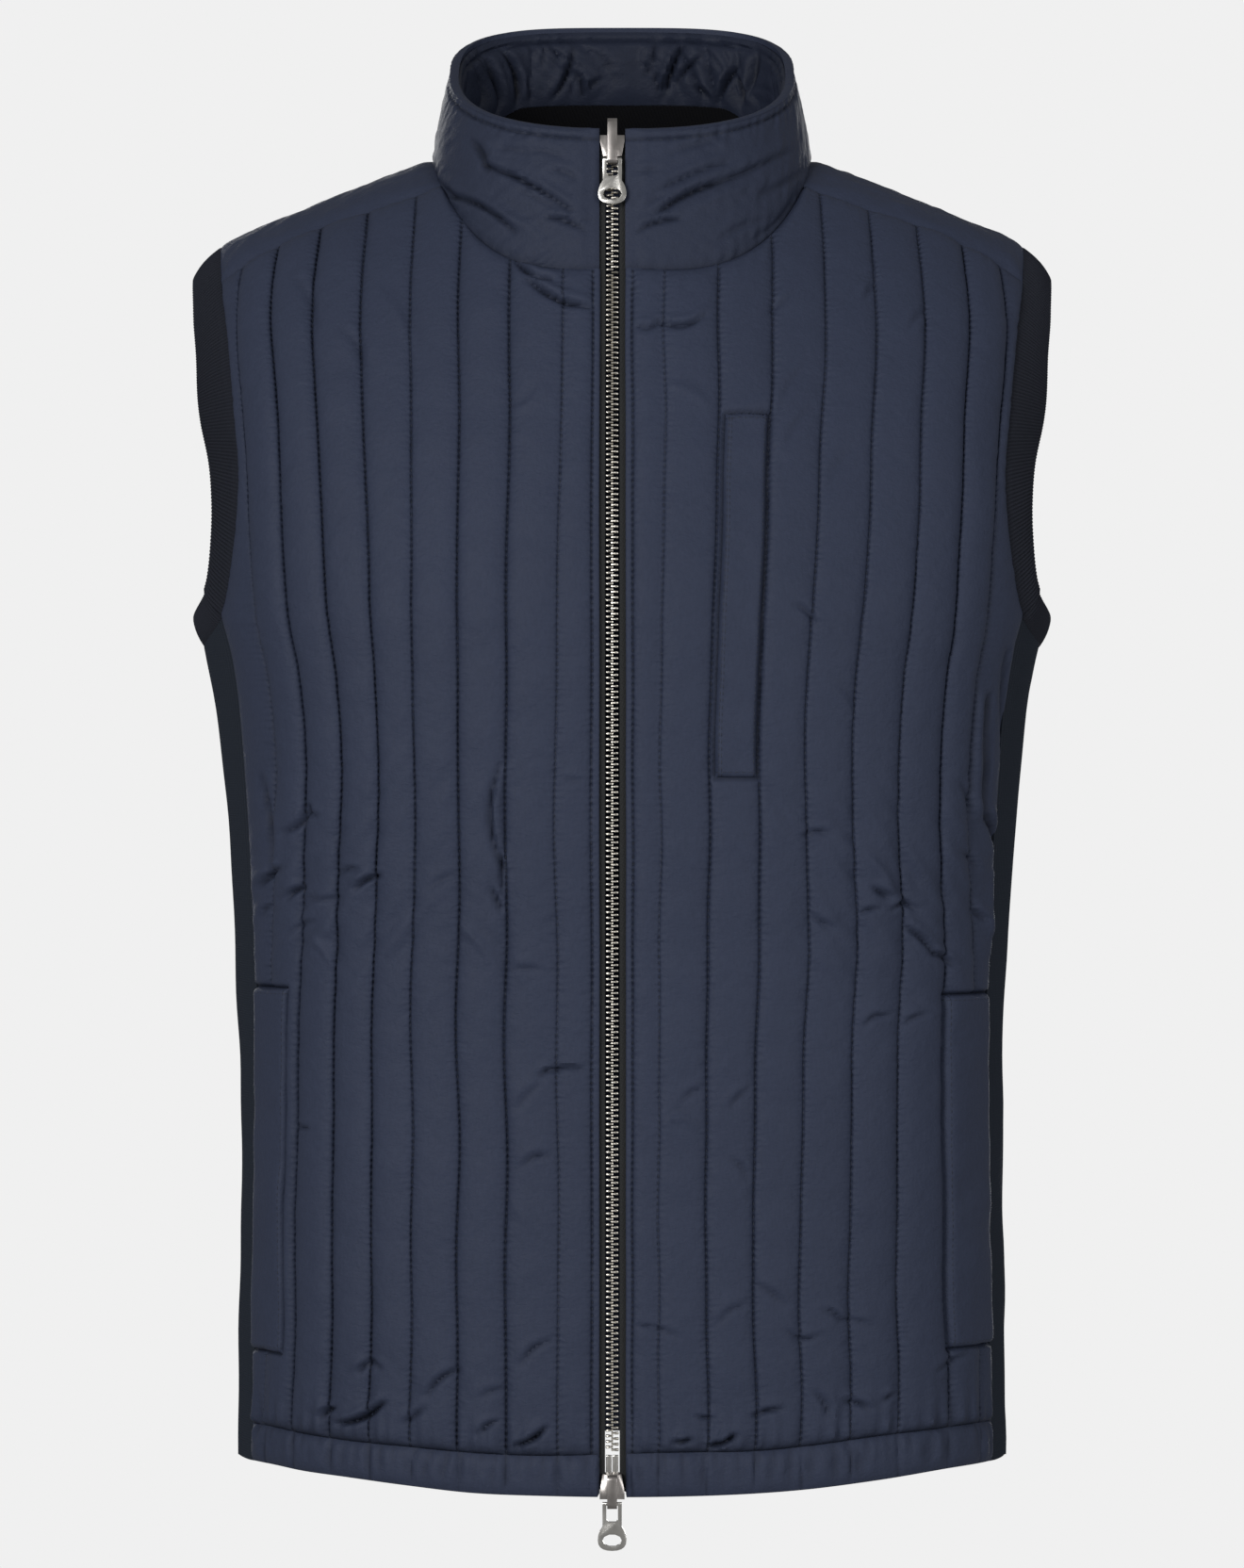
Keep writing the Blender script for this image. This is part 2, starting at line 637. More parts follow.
def chest_arc(x, face):
    """Arc, from the middle of the front or back, at which the chest ring reaches x."""
    widest = int(np.argmax(RING_X[-1]))
    if face == "front":
        return np.interp(x, RING_X[-1][: widest + 1], RING_SHARES[: widest + 1] * CHEST_LENGTH)
    rear = slice(None, widest - 1, -1)
    return np.interp(x, RING_X[-1][rear], CHEST_LENGTH * (1 - RING_SHARES[rear]))


def edge_arc(level, face):
    """Arc of the panel's side edge: the side seam up to the underarm, then the armhole."""
    over = chest_arc(smooth(ARMHOLE, "level", level, "x"), face)
    return np.where(level <= UNDERARM_LEVEL, smooth(SIDE_SEAM, "level", level, "arc"), over)


LAST_FRONT_LINE = LINES * CHANNEL
LAST_BACK_LINE = (LINES - 0.5) * CHANNEL
EDGE_SPAN = 12


def cloth_arc(u, level, face):
    """Arc of the cloth's own measure u. Past the last stitched line, u runs a nominal width to
    the panel's edge."""
    last = LAST_FRONT_LINE if face == "front" else LAST_BACK_LINE
    share = smooth(SPREAD, "level", level, "share")

    def stretched(arc):
        return arc * (1 + share * arc / SPREAD_ARC)

    past = np.clip((u - last) / EDGE_SPAN, 0, 1)
    line = stretched(np.minimum(u, last))
    return line + (edge_arc(level, face) - GAP / 2 - line) * past


def front_arc(u, level, side):
    """The zip's sideways shift fades out towards the side seam."""
    arc = cloth_arc(u, level, "front")
    return side * arc + ZIP_X * (1 - arc / edge_arc(level, "front"))


def seam_level_over(x):
    return smooth(SHOULDER_SEAM, "x", np.abs(x), "level")


def top_level(arc_at, like, face):
    """Level at which a column meets the neckline, or the shoulder seam if that comes first."""

    def past(level):
        p = form_point(arc_at(level), level, face)
        over = level > seam_level_over(p[..., 0]) - LEVEL_GAP / 2
        return over | (plan_value(NECK, p[..., 0], p[..., 1]) < 1)

    return bisect(np.full(np.shape(like), UNDERARM_LEVEL), np.full(np.shape(like), 2.0), past)


SEAM_LEVEL = (HEM_BAND + GAP / 2) / (CHEST_Z - HEM_Z)

# Uneven cloth


def waves(a, b, length, seed, count=22):
    """Soft noise of about unit height over two coordinates: many sines of nearly one wavelength,
    each with its own heading and phase."""
    rng = np.random.default_rng(seed)
    total = 0
    for _ in range(count):
        heading, phase = rng.uniform(0, 2 * math.pi, 2)
        k = 2 * math.pi / (length * rng.uniform(0.7, 1.5))
        total = total + np.sin(k * (a * math.cos(heading) + b * math.sin(heading)) + phase)
    return total / math.sqrt(count / 2)


def ripples(along, rows, length, seed, count=6):
    """Noise along one coordinate that differs from row to row: sines of about one wavelength with
    phases of the row's own."""
    rng = np.random.default_rng(seed)
    total = 0
    for _ in range(count):
        phase = rng.uniform(0, 2 * math.pi, 400)[rows]
        k = 2 * math.pi / (length * rng.uniform(0.7, 1.5, 400)[rows])
        total = total + np.sin(k * along + phase)
    return total / math.sqrt(count / 2)


def fold_shade(creases):
    """From 0 to 1, how dark a fold is, since little light gets into it: its depth over 3 mm."""
    return np.clip(-creases / 3, 0, 1) ** 1.6


def crease_lift(x, z, table, deepen=1.0):
    """The sum of all creases: across each one a trough like a bell curve with a lower ridge on
    its upper side, fading towards its ends. The crease's line is a parabola over its chord."""
    lift = np.zeros(np.shape(x))
    for x0, z0, x1, z1, bend, depth, width in table:
        length = math.hypot(x1 - x0, z1 - z0)
        ax, az = (x1 - x0) / length, (z1 - z0) / length
        side = -1 if ax < 0 else 1
        along = ((x - x0) * ax + (z - z0) * az) / length
        t = np.clip(along, 0, 1)
        off = side * ((z - z0) * ax - (x - x0) * az) - bend * 4 * t * (1 - t)
        beyond = np.maximum(np.abs(along - 0.5) - 0.5, 0) * length
        fade = np.sqrt(np.sin(math.pi * (0.08 + 0.84 * t))) * np.exp(-((beyond / width) ** 2))
        trough = np.exp(-((off / max(0.66 * width, 1.3)) ** 2))
        ridge = np.exp(-(((off - 1.8 * width) / (1.2 * width)) ** 2))
        lift += deepen * depth * fade * (0.45 * ridge - trough)
    return lift


def spaced(low, high, steps, close=0.55):
    """Places from low up to but not with high, partly drawn to both ends as a cosine is."""
    t = np.arange(steps) / steps
    drawn = 0.5 - 0.5 * np.cos(math.pi * t)
    return low + (high - low) * (close * drawn + (1 - close) * t)


class Cloth:
    """A grid of points with normals, rows up and columns across, in millimetres."""

    def __init__(self, points, normals, u, v):
        self.points = points
        self.normals = normals
        self.u = u
        self.v = v


def line_pull(u, lines, depths):
    """How strongly the nearest stitched line pulls."""
    k = np.clip(np.searchsorted(lines, u, side="right") - 1, 0, len(lines) - 2)
    nearer = u - lines[k] > lines[k + 1] - u
    return depths[k + nearer]


def quilted_lift(u, z, from_low, from_top, lines, depths, seed, sizes):
    """Height of the padding over the form. Across a channel it is a flat dome plus a narrow groove
    at each stitched line, and it falls to nothing at the seams. Puckers ripple beside the
    stitching, and soft noise makes every channel its own."""
    k = np.clip(np.searchsorted(lines, u, side="right") - 1, 0, len(lines) - 2)
    width = lines[k + 1] - lines[k]
    t = np.clip((u - lines[k]) / width, 0, 1)
    near = np.minimum(t, 1 - t) * width
    dome = 1 - np.abs(2 * t - 1) ** DOME_POWER
    shoulder = 1 - np.exp(-near / SHOULDER_REACH)
    groove = 1 - np.exp(-near / GROOVE_REACH)
    profile = PADDING["dome"] * dome + PADDING["shoulder"] * shoulder + PADDING["groove"] * groove
    full = np.minimum(width / CHANNEL, 1) ** 0.9
    side = k * 2 + (t > 0.5)
    puff = 1 + 0.05 * ripples(z, k, 90, seed) + 0.03 * ripples(z, k, 30, seed + 1)
    line_depth = depths[k] * (1 - ease(t)) + depths[k + 1] * ease(t)
    pull = LEAST_PULL + (1 - LEAST_PULL) * line_depth
    body = sizes.quilt_height * full * puff * (1 - pull * (1 - profile))
    pucker = 0.5 * ripples(z, side, 10, seed + 2) + 0.5 * ripples(z, side, 6, seed + 3)
    strong = 0.6 + 0.4 * ripples(z, side, 48, seed + 4, 4)
    body += sizes.pucker_height * pucker * strong * np.exp(-near / PUCKER_REACH) * groove
    low = 1 - np.exp(-from_low / 1.9)
    top = 1 - np.exp(-from_top / 2.6)
    row = np.zeros(np.shape(u), int)
    gather = ripples(u, row, 8.5, seed + 5) * np.exp(-from_low / 8) * np.minimum(from_low / 2, 1)
    upper = ripples(u, row + 1, 7.5, seed + 6) * np.exp(-from_top / 6) * np.minimum(from_top / 2, 1)
    return (body + GATHERS["hem"] * gather + GATHERS["top"] * upper) * low * top


def ditch_lift(u, z, welt):
    """The cloth round a welt is stitched down: a narrow ditch along the welt's outline, by a bell
    curve of the distance to its rectangle, and a flat bed under it."""
    beside = np.maximum(welt["from"] - u, u - welt["to"])
    beyond = np.maximum(welt["low"] - z, z - welt["high"])
    outside = np.hypot(np.maximum(beside, 0), np.maximum(beyond, 0))
    signed = outside + np.minimum(np.maximum(beside, beyond), 0)
    bed = 1.2 * ease(-signed / 2)
    return -welt["ditch"] * np.exp(-((signed / 1.3) ** 2)) - bed


def line_shift(name, u, z):
    """How far a front's cloth is shifted outwards so that its lines run as worn: nothing at the
    chest, then the waist's values, then those near the hem."""
    waist = smooth(LINE_SHIFT[name], "u", u, "waist")
    low = smooth(LINE_SHIFT[name], "u", u, "low")
    return (waist + (low - waist) * ease((-330 - z) / 170)) * ease((-110 - z) / 170)


def along_columns(points):
    """Length along each column from its first row."""
    step = np.linalg.norm(np.diff(points, axis=0), axis=-1)
    return np.concatenate([np.zeros((1,) + step.shape[1:]), np.cumsum(step, axis=0)])


panel_cache = {}


def panel_levels(tops, face):
    """Levels of a panel's rows: from the hem seam to the underarm, closest at the hem and the
    waist where the creases are, then a share of the way to each column's own top."""
    below, above = PANEL_ROWS[face]
    at = np.linspace(0, 1, 800)
    close = 1 + 1.2 * np.exp(-(((at - 0.6) / 0.13) ** 2)) + 1.0 * np.exp(-((at / 0.1) ** 2))
    close = np.cumsum(close) - close[0]
    shares = np.interp(np.arange(below) / below, close / close[-1], at)
    low = SEAM_LEVEL + (UNDERARM_LEVEL - SEAM_LEVEL) * shares
    shares = np.append(spaced(0, 1, above, 0.2), 1)
    high = UNDERARM_LEVEL + (tops[None, :] - UNDERARM_LEVEL) * shares[:, None]
    return np.vstack([np.repeat(low[:, None], len(tops), 1), high])


EDGE_STEPS = 12


def edge_columns(last):
    """Columns from the last stitched line to the panel's side edge."""
    return np.append(spaced(last, last + EDGE_SPAN, EDGE_STEPS), last + EDGE_SPAN)


def front_columns():
    edges = [FOLD_EDGE + np.array([0, 0.35, 0.9, 1.9])]
    edges.append(spaced(EDGE_STITCH, CHANNEL, 10))
    for k in range(1, LINES):
        edges.append(spaced(k * CHANNEL, (k + 1) * CHANNEL, CHANNEL_STEPS, 0.4))
    edges.append(edge_columns(LAST_FRONT_LINE))
    return np.concatenate(edges)


def back_columns():
    half = [spaced(0, CHANNEL / 2, 7, 0)]
    for k in range(LINES - 1):
        half.append(spaced((k + 0.5) * CHANNEL, (k + 1.5) * CHANNEL, CHANNEL_STEPS))
    half.append(edge_columns(LAST_BACK_LINE))
    half = np.concatenate(half)
    return np.concatenate([-half[:0:-1], half])


def panel_arc(name, u):
    """A function that gives the arcs of a panel's columns at a level."""
    if name == "back":
        sign = np.where(u < 0, -1, 1)
        return lambda level: sign * cloth_arc(np.abs(u), level, "back")
    return lambda level: front_arc(u, level, SIDES[name])


def drifted(arc, z, u, last, seed):
    """Stitched lines wander by less than a millimetre, but not at the panel's side edges."""
    hold = ease(np.abs(u) / CHANNEL) * ease((last + EDGE_SPAN - np.abs(u)) / CHANNEL)
    return arc + 0.55 * waves(arc, z, 95, seed, 12) * hold


SIDES = {"front_right": -1, "front_left": 1}
SEEDS = {"front_right": 100, "front_left": 300, "back": 500}
PANEL_WELTS = {"front_right": (HAND_WELT_RIGHT,), "front_left": (CHEST_WELT, HAND_WELT_LEFT), "back": ()}


def panel_lines(name):
    """A panel's stitched lines and edges by u, with how deep each pulls in."""
    if name == "back":
        half = np.append(np.arange(0.5, LINES) * CHANNEL, LAST_BACK_LINE + EDGE_SPAN)
        depths = np.array(LINE_DEPTH["back"])
        return np.concatenate([-half[::-1], half]), np.concatenate([depths[::-1], depths])
    lines = np.concatenate([[FOLD_EDGE, EDGE_STITCH], np.arange(1, LINES + 1) * CHANNEL])
    return np.append(lines, LAST_FRONT_LINE + EDGE_SPAN), np.array((1,) + LINE_DEPTH[name])


def panel(name):
    """The fine cloth of a quilted panel, before and after its padding is added."""
    if name in panel_cache:
        return panel_cache[name]
    sizes = bpy.context.scene.vest_sizes
    seed = SEEDS[name]
    if name == "back":
        face, last, creases, u = "back", LAST_BACK_LINE, BACK_CREASES, back_columns()
    else:
        face, last, creases, u = "front", LAST_FRONT_LINE, FRONT_CREASES, front_columns()
    lines, depths = panel_lines(name)
    arc_at = panel_arc(name, u)
    tops = top_level(arc_at, u, face)
    level = panel_levels(tops, face)
    arc = arc_at(level)
    rough = form_point(arc, level, face)
    arc = drifted(arc, rough[..., 2], u[None, :], last, seed + 40)
    if name in LINE_SHIFT:
        arc = arc + SIDES[name] * line_shift(name, u[None, :], rough[..., 2])
    base, normal = on_form(arc, level, face)
    up = along_columns(base)
    wide = np.repeat(u[None, :], len(level), 0)
    x, z = base[..., 0], base[..., 2]
    lift = quilted_lift(wide, z, up, up[-1] - up, lines, depths, seed, sizes)
    edge = last + EDGE_SPAN - np.abs(wide)
    padded = ease(np.abs(lift) / 1.5) * ease(edge / 3)
    folds = sizes.crease_depth * crease_lift(x, z, creases) * (0.5 + 0.5 * padded)
    lift += folds
    lift += (0.07 * waves(x, z, 19, seed + 7) + 0.045 * waves(x, z, 8, seed + 8)) * padded
    ditches = sum((ditch_lift(wide, z, welt) for welt in PANEL_WELTS[name]), np.zeros(z.shape))
    lift += ditches
    waist = np.exp(-(((z - WAIST["z"]) / WAIST["half"]) ** 2)) * ease((np.abs(x) - 45) / 60)
    slant = waves(x * 0.9 + z * 0.7 * np.sign(x), z * 0.35 - x * 0.2, 12, seed + 9)
    lift += WAIST["relief"] * slant * waist * padded
    if name != "back":
        in_from_fold = wide - FOLD_EDGE
        folded = 0.25 * ease(in_from_fold / 1.5) - 0.5 * np.exp(-in_from_fold / 0.35)
        lift = np.where(wide < EDGE_STITCH, folded, lift)
    cloth = Cloth(base + normal * lift[..., None], normal, u, up)
    cloth.base = base
    cloth.lines = lines
    cloth.pull = line_pull(wide, lines, depths)
    from_hem = up * (0.7 + 0.6 * np.abs(waves(wide, 0 * up, 60, seed + 11)))
    cloth.hollow = np.maximum(fold_shade(folds + 1.2 * ditches), 0.8 * np.exp(-from_hem / 2.6))
    cloth.turned = name != "front_left"
    panel_cache[name] = cloth
    return cloth


# Meshes


def grid_quads(rows, columns, first=0, wrap=False, turned=False):
    """Faces of a grid that is numbered row by row."""
    ids = first + np.arange(rows * columns).reshape(rows, columns)
    if wrap:
        ids = np.hstack([ids, ids[:, :1]])
    quads = np.stack([ids[:-1, :-1], ids[:-1, 1:], ids[1:, 1:], ids[1:, :-1]], -1).reshape(-1, 4)
    return quads[:, ::-1] if turned else quads


def rim_faces(fine, coarse):
    """Triangles between a run of points and another that has every second one of them."""
    a, b, c = fine[0:-2:2], fine[1:-1:2], fine[2::2]
    d, e = coarse[:-1], coarse[1:]
    return np.concatenate([np.stack([b, a, d], -1), np.stack([d, e, b], -1), np.stack([c, b, e], -1)])


def wall_mesh(outer, inner_of, wrap=False, turned=False):
    """A closed wall: the outer grid, an inner grid with every second row and column, and rims."""
    rows, columns = outer.shape[:2]
    inner = inner_of[::2, ::2]
    low_rows, low_columns = inner.shape[:2]
    points = np.concatenate([outer.reshape(-1, 3), inner.reshape(-1, 3)])
    start = rows * columns
    a = np.arange(start).reshape(rows, columns)
    b = start + np.arange(low_rows * low_columns).reshape(low_rows, low_columns)
    quads = [grid_quads(rows, columns, 0, wrap), grid_quads(low_rows, low_columns, start, wrap, True)]
    if wrap:
        a = np.hstack([a, a[:, :1]])
        b = np.hstack([b, b[:, :1]])
    tris = [rim_faces(a[0], b[0]), rim_faces(a[-1][::-1], b[-1][::-1])]
    if not wrap:
        tris += [rim_faces(a[:, -1], b[:, -1]), rim_faces(a[::-1, 0], b[::-1, 0])]
    quads, tris = np.concatenate(quads), np.concatenate(tris)
    if turned:
        quads, tris = quads[:, ::-1], tris[:, ::-1]
    return points, quads, tris


def with_hem_raised(points):
    """The front hem climbs a few millimetres towards the side seams, its seam a little more than
    its edge. The climb fades out above the hem and round the side."""
    x, y, z = points[:, 0], points[:, 1], points[:, 2]
    share = np.clip((z - HEM_Z) / HEM_BAND, 0, 1)
    edge = smooth(HEM_RISE, "x", x, "edge")
    seam = smooth(HEM_RISE, "x", x, "seam")
    rise = (edge + (seam - edge) * share) * ease((-510 - z) / 100) * ease((30 - y) / 60)
    at_zip = (np.abs(x - ZIP_X) < 6.5) & (y < -60)
    return np.column_stack([x, y, z + np.where(at_zip, 0, rise)])


def fill_mesh(name, points, quads=None, tris=None, uv=None, sharp=50):
    """A mesh from whole arrays of millimetre points and faces, with smooth faces that break at
    sharp edges. uv holds a place in metres for each point."""
    points = with_hem_raised(np.asarray(points, float))
    quads = np.zeros((0, 4), int) if quads is None else quads
    tris = np.zeros((0, 3), int) if tris is None else tris
    loops = np.concatenate([quads.ravel(), tris.ravel()]).astype(np.int32)
    starts = np.concatenate([np.arange(len(quads)) * 4, len(quads) * 4 + np.arange(len(tris)) * 3])
    mesh = bpy.data.meshes.new(name)
    mesh.vertices.add(len(points))
    mesh.vertices.foreach_set("co", (np.asarray(points, np.float32) * 0.001).ravel())
    mesh.loops.add(len(loops))
    mesh.loops.foreach_set("vertex_index", loops)
    mesh.polygons.add(len(starts))
    mesh.polygons.foreach_set("loop_start", starts.astype(np.int32))
    mesh.update(calc_edges=True)
    mesh.validate()
    mesh.polygons.foreach_set("use_smooth", np.ones(len(mesh.polygons), bool))
    if uv is not None:
        order = np.empty(len(mesh.loops), np.int32)
        mesh.loops.foreach_get("vertex_index", order)
        layer = mesh.uv_layers.new(name="cloth")
        layer.data.foreach_set("uv", np.asarray(uv, np.float32)[order].ravel())
    mesh.set_sharp_from_angle(angle=math.radians(sharp))
    mesh.update()
    return mesh


def add_values(mesh, name, values):
    """Gives a mesh a named value at the points of its outer grid, and 0 elsewhere."""
    every = np.zeros(len(mesh.vertices), np.float32)
    every[: values.size] = values.ravel()
    mesh.attributes.new(name, "FLOAT", "POINT").data.foreach_set("value", every)


def add_piece(name, mesh, surface, stands_for=(), body=BODY):
    piece = bpy.data.objects.new(name, mesh)
    bpy.context.scene.collection.objects.link(piece)
    mesh.materials.append(surface)
    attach(piece, body)
    if stands_for:
        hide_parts(*stands_for)
    return piece


def cloth_piece(name, node, surface, walls, places, values=None, wrap=False, turned=False, sharp=50):
    """A wall of cloth as a piece that stands for a node. walls are its outer and inner grids,
    places the cloth's own measures across and along it, and values what its finish reads."""
    points, quads, tris = wall_mesh(*walls, wrap=wrap, turned=turned)
    uv = np.stack(np.broadcast_arrays(*places), -1) * 0.001
    uv = np.concatenate([uv.reshape(-1, 2), uv[::2, ::2].reshape(-1, 2)])
    mesh = fill_mesh(name, points, quads, tris, uv, sharp)
    for label, grid in (values or {}).items():
        add_values(mesh, label, grid)
    return add_piece(name, mesh, finish(surface), [node])


# Materials


def new_group(name, outputs, inputs):
    """An empty shader group with a vector input, named number inputs and number outputs. It gives
    the group's wiring, its inputs and its outputs."""
    group = bpy.data.node_groups.new(name, "ShaderNodeTree")
    group.interface.new_socket("Vector", in_out="INPUT", socket_type="NodeSocketVector")
    for label, value in inputs.items():
        socket = group.interface.new_socket(label, in_out="INPUT", socket_type="NodeSocketFloat")
        socket.default_value = value
    for label in outputs:
        group.interface.new_socket(label, in_out="OUTPUT", socket_type="NodeSocketFloat")
    w = Wiring(group)
    return w, w.node("NodeGroupInput").outputs, w.node("NodeGroupOutput").inputs


class Wiring:
    """Adds nodes to a tree and joins them."""

    def __init__(self, tree):
        self.tree = tree

    def node(self, kind, **values):
        made = self.tree.nodes.new(kind)
        for name, value in values.items():
            setattr(made, name, value)
        return made

    def link(self, start, end):
        self.tree.links.new(start, end)

    def feed(self, socket, value):
        if isinstance(value, bpy.types.NodeSocket):
            self.link(value, socket)
        else:
            socket.default_value = value

    def math(self, operation, *values):
        made = self.node("ShaderNodeMath", operation=operation)
        for socket, value in zip(made.inputs, values):
            self.feed(socket, value)
        return made.outputs[0]

    def times(self, first, second):
        return self.math("MULTIPLY", first, second)

    def line(self, value, slope, start):
        """A straight line: the value times a slope plus a start."""
        return self.math("MULTIPLY_ADD", value, slope, start)

    def noise(self, vector, scale, detail=2.0, rough=0.5, distortion=0.0):
        made = self.node("ShaderNodeTexNoise")
        self.feed(made.inputs["Vector"], vector)
        self.feed(made.inputs["Scale"], scale)
        made.inputs["Detail"].default_value = detail
        made.inputs["Roughness"].default_value = rough
        made.inputs["Distortion"].default_value = distortion
        return made.outputs["Fac"]

    def mapped(self, vector, scale=(1, 1, 1), rotation=(0, 0, 0)):
        made = self.node("ShaderNodeMapping")
        self.link(vector, made.inputs["Vector"])
        made.inputs["Scale"].default_value = scale
        made.inputs["Rotation"].default_value = rotation
        return made.outputs["Vector"]

    def parts(self, vector):
        made = self.node("ShaderNodeSeparateXYZ")
        self.link(vector, made.inputs["Vector"])
        return made.outputs["X"], made.outputs["Y"]

    def attribute(self, name):
        return self.node("ShaderNodeAttribute", attribute_name=name).outputs["Fac"]

    def tinted(self, colour, share):
        """A colour multiplied by a number."""
        made = self.node("ShaderNodeMix", data_type="RGBA", blend_type="MULTIPLY")
        made.inputs["Factor"].default_value = 1.0
        self.link(colour, made.inputs["A"])
        self.link(share, made.inputs["B"])
        return made.outputs["Result"]

    def effect(self, name, vector, **values):
        """A shared effect over a vector, with its other inputs set or linked."""
        made = self.node("ShaderNodeGroup", node_tree=shared_group(name))
        self.link(vector, made.inputs["Vector"])
        for label, value in values.items():
            self.feed(made.inputs[label], value)
        return made.outputs


def crumple_group():
    """Fine crumple of thin cloth: two noises, the finer one stretched into short folds."""
    w, given, made = new_group("crumple", ("Height", "Shade"), {"Scale": 90.0})
    vector, scale = given["Vector"], given["Scale"]
    stretched = w.mapped(vector, (1.0, 1.0, 1.6), (0.0, 0.6, 0.0))
    broad = w.noise(vector, scale, 3.0, 0.55, 0.4)
    finer = w.noise(stretched, w.times(scale, 3.1), 2.0, 0.5, 0.8)
    w.link(w.math("ADD", w.times(broad, 0.65), w.times(finer, 0.35)), made["Height"])
    w.link(w.noise(vector, 11.0, 3.0), made["Shade"])


def weave_group():
    """Plain weave: the product of sines along the two threads of the cloth's own measure."""
    w, given, made = new_group("weave", ("Height",), {"Threads": 1800.0})
    x, y = w.parts(given["Vector"])
    turns = w.times(given["Threads"], 2 * math.pi)
    across = w.math("SINE", w.times(x, turns))
    along = w.math("SINE", w.times(y, turns))
    w.link(w.line(w.times(across, along), 0.5, 0.5), made["Height"])


def stitching_group():
    """What stitching does to cloth: a pinched dotted line at every Spacing across, one more at
    Edge, and short puckers like ticks that fade out beside each line. Lengths are in metres."""
    inputs = {"Spacing": CHANNEL / 1000, "Shift": 0.0, "Edge": 1.0, "Pitch": 0.0031, "Pull": 1.0}
    w, given, made = new_group("stitching", ("Height", "Shade"), inputs)
    across, along = w.parts(given["Vector"])
    channel = w.math("ADD", w.math("DIVIDE", across, given["Spacing"]), given["Shift"])
    share = w.math("FRACT", channel)
    nearer = w.math("MINIMUM", share, w.math("SUBTRACT", 1.0, share))
    edge = w.math("ABSOLUTE", w.math("SUBTRACT", across, given["Edge"]))
    near = w.math("MINIMUM", w.times(nearer, given["Spacing"]), edge)
    bell = w.math("POWER", w.math("DIVIDE", near, 0.00055), 2.0)
    pinch = w.math("EXPONENT", w.times(bell, -1.0))
    wander = w.noise(given["Vector"], 130.0, 1.0)
    turns = w.times(w.math("DIVIDE", along, given["Pitch"]), 2 * math.pi)
    dots = w.math("SINE", turns)
    ticks = w.math("SINE", w.line(wander, 9.0, w.times(turns, 0.93)))
    reach = w.math("EXPONENT", w.math("DIVIDE", near, -0.0022))
    uneven = w.noise(given["Vector"], 75.0, 1.0)
    raised = w.times(ticks, w.times(reach, w.line(uneven, 1.8, -0.25)))
    sunk = w.times(pinch, w.line(dots, 0.28, 0.7))
    w.link(w.line(sunk, -1.0, w.times(raised, 0.32)), made["Height"])
    darker = w.times(pinch, w.line(dots, 0.14, 0.26))
    pulled = w.times(darker, w.line(given["Pull"], 0.8, 0.2))
    w.link(w.math("SUBTRACT", 1.0, pulled), made["Shade"])


def knit_group():
    """Knit loops: across each rib a rounded back, and along it slanting stitches that lean to
    both sides of the rib's middle. Ribs and Stitches are counts in a metre."""
    w, given, made = new_group("knit", ("Height", "Shade"), {"Ribs": 500.0, "Stitches": 700.0})
    x, y = w.parts(given["Vector"])
    across = w.math("FRACT", w.times(x, given["Ribs"]))
    middle = w.math("ABSOLUTE", w.math("SUBTRACT", across, 0.5))
    rounded = w.math("SUBTRACT", 1.0, w.times(w.math("POWER", middle, 2.0), 4.0))
    slant = w.math("ADD", w.times(y, given["Stitches"]), w.times(middle, 1.2))
    loops = w.math("ABSOLUTE", w.math("SINE", w.times(slant, math.pi)))
    height = w.times(rounded, w.line(loops, 0.55, 0.45))
    w.link(height, made["Height"])
    w.link(w.line(height, 0.6, 0.4), made["Shade"])


EFFECTS = {
    "crumple": crumple_group,
    "weave": weave_group,
    "stitching": stitching_group,
    "knit": knit_group,
}


def shared_group(name):
    """A shared effect's group, made when it is first needed."""
    if name not in bpy.data.node_groups:
        EFFECTS[name]()
    return bpy.data.node_groups[name]


def new_material(name, roughness, metallic=0.0):
    """A material with its shader, its wiring and the coordinates that its textures use."""
    made = bpy.data.materials.new(name)
    made.use_nodes = True
    shader = made.node_tree.nodes["Principled BSDF"].inputs
    shader["Roughness"].default_value = roughness
    shader["Metallic"].default_value = metallic
    w = Wiring(made.node_tree)
    return made, shader, w, w.node("ShaderNodeTexCoord").outputs


def mixed_colour(w, share, dark, light):
    mix = w.node("ShaderNodeMix", data_type="RGBA")
    w.feed(mix.inputs["Factor"], share)
    mix.inputs["A"].default_value = (*dark, 1)
    mix.inputs["B"].default_value = (*light, 1)
    return mix.outputs["Result"]


def scaled(colour, share):
    return tuple(c * share for c in colour)


def bumped(w, shader, layers):
    """Bump nodes in a row, each a height with its own strength and depth in metres."""
    normal = None
    for height, strength, depth in layers:
        bump = w.node("ShaderNodeBump")
        bump.inputs["Strength"].default_value = strength
        bump.inputs["Distance"].default_value = depth
        w.link(height, bump.inputs["Height"])
        if normal:
            w.link(normal, bump.inputs["Normal"])
        normal = bump.outputs["Normal"]
    w.link(normal, shader["Normal"])


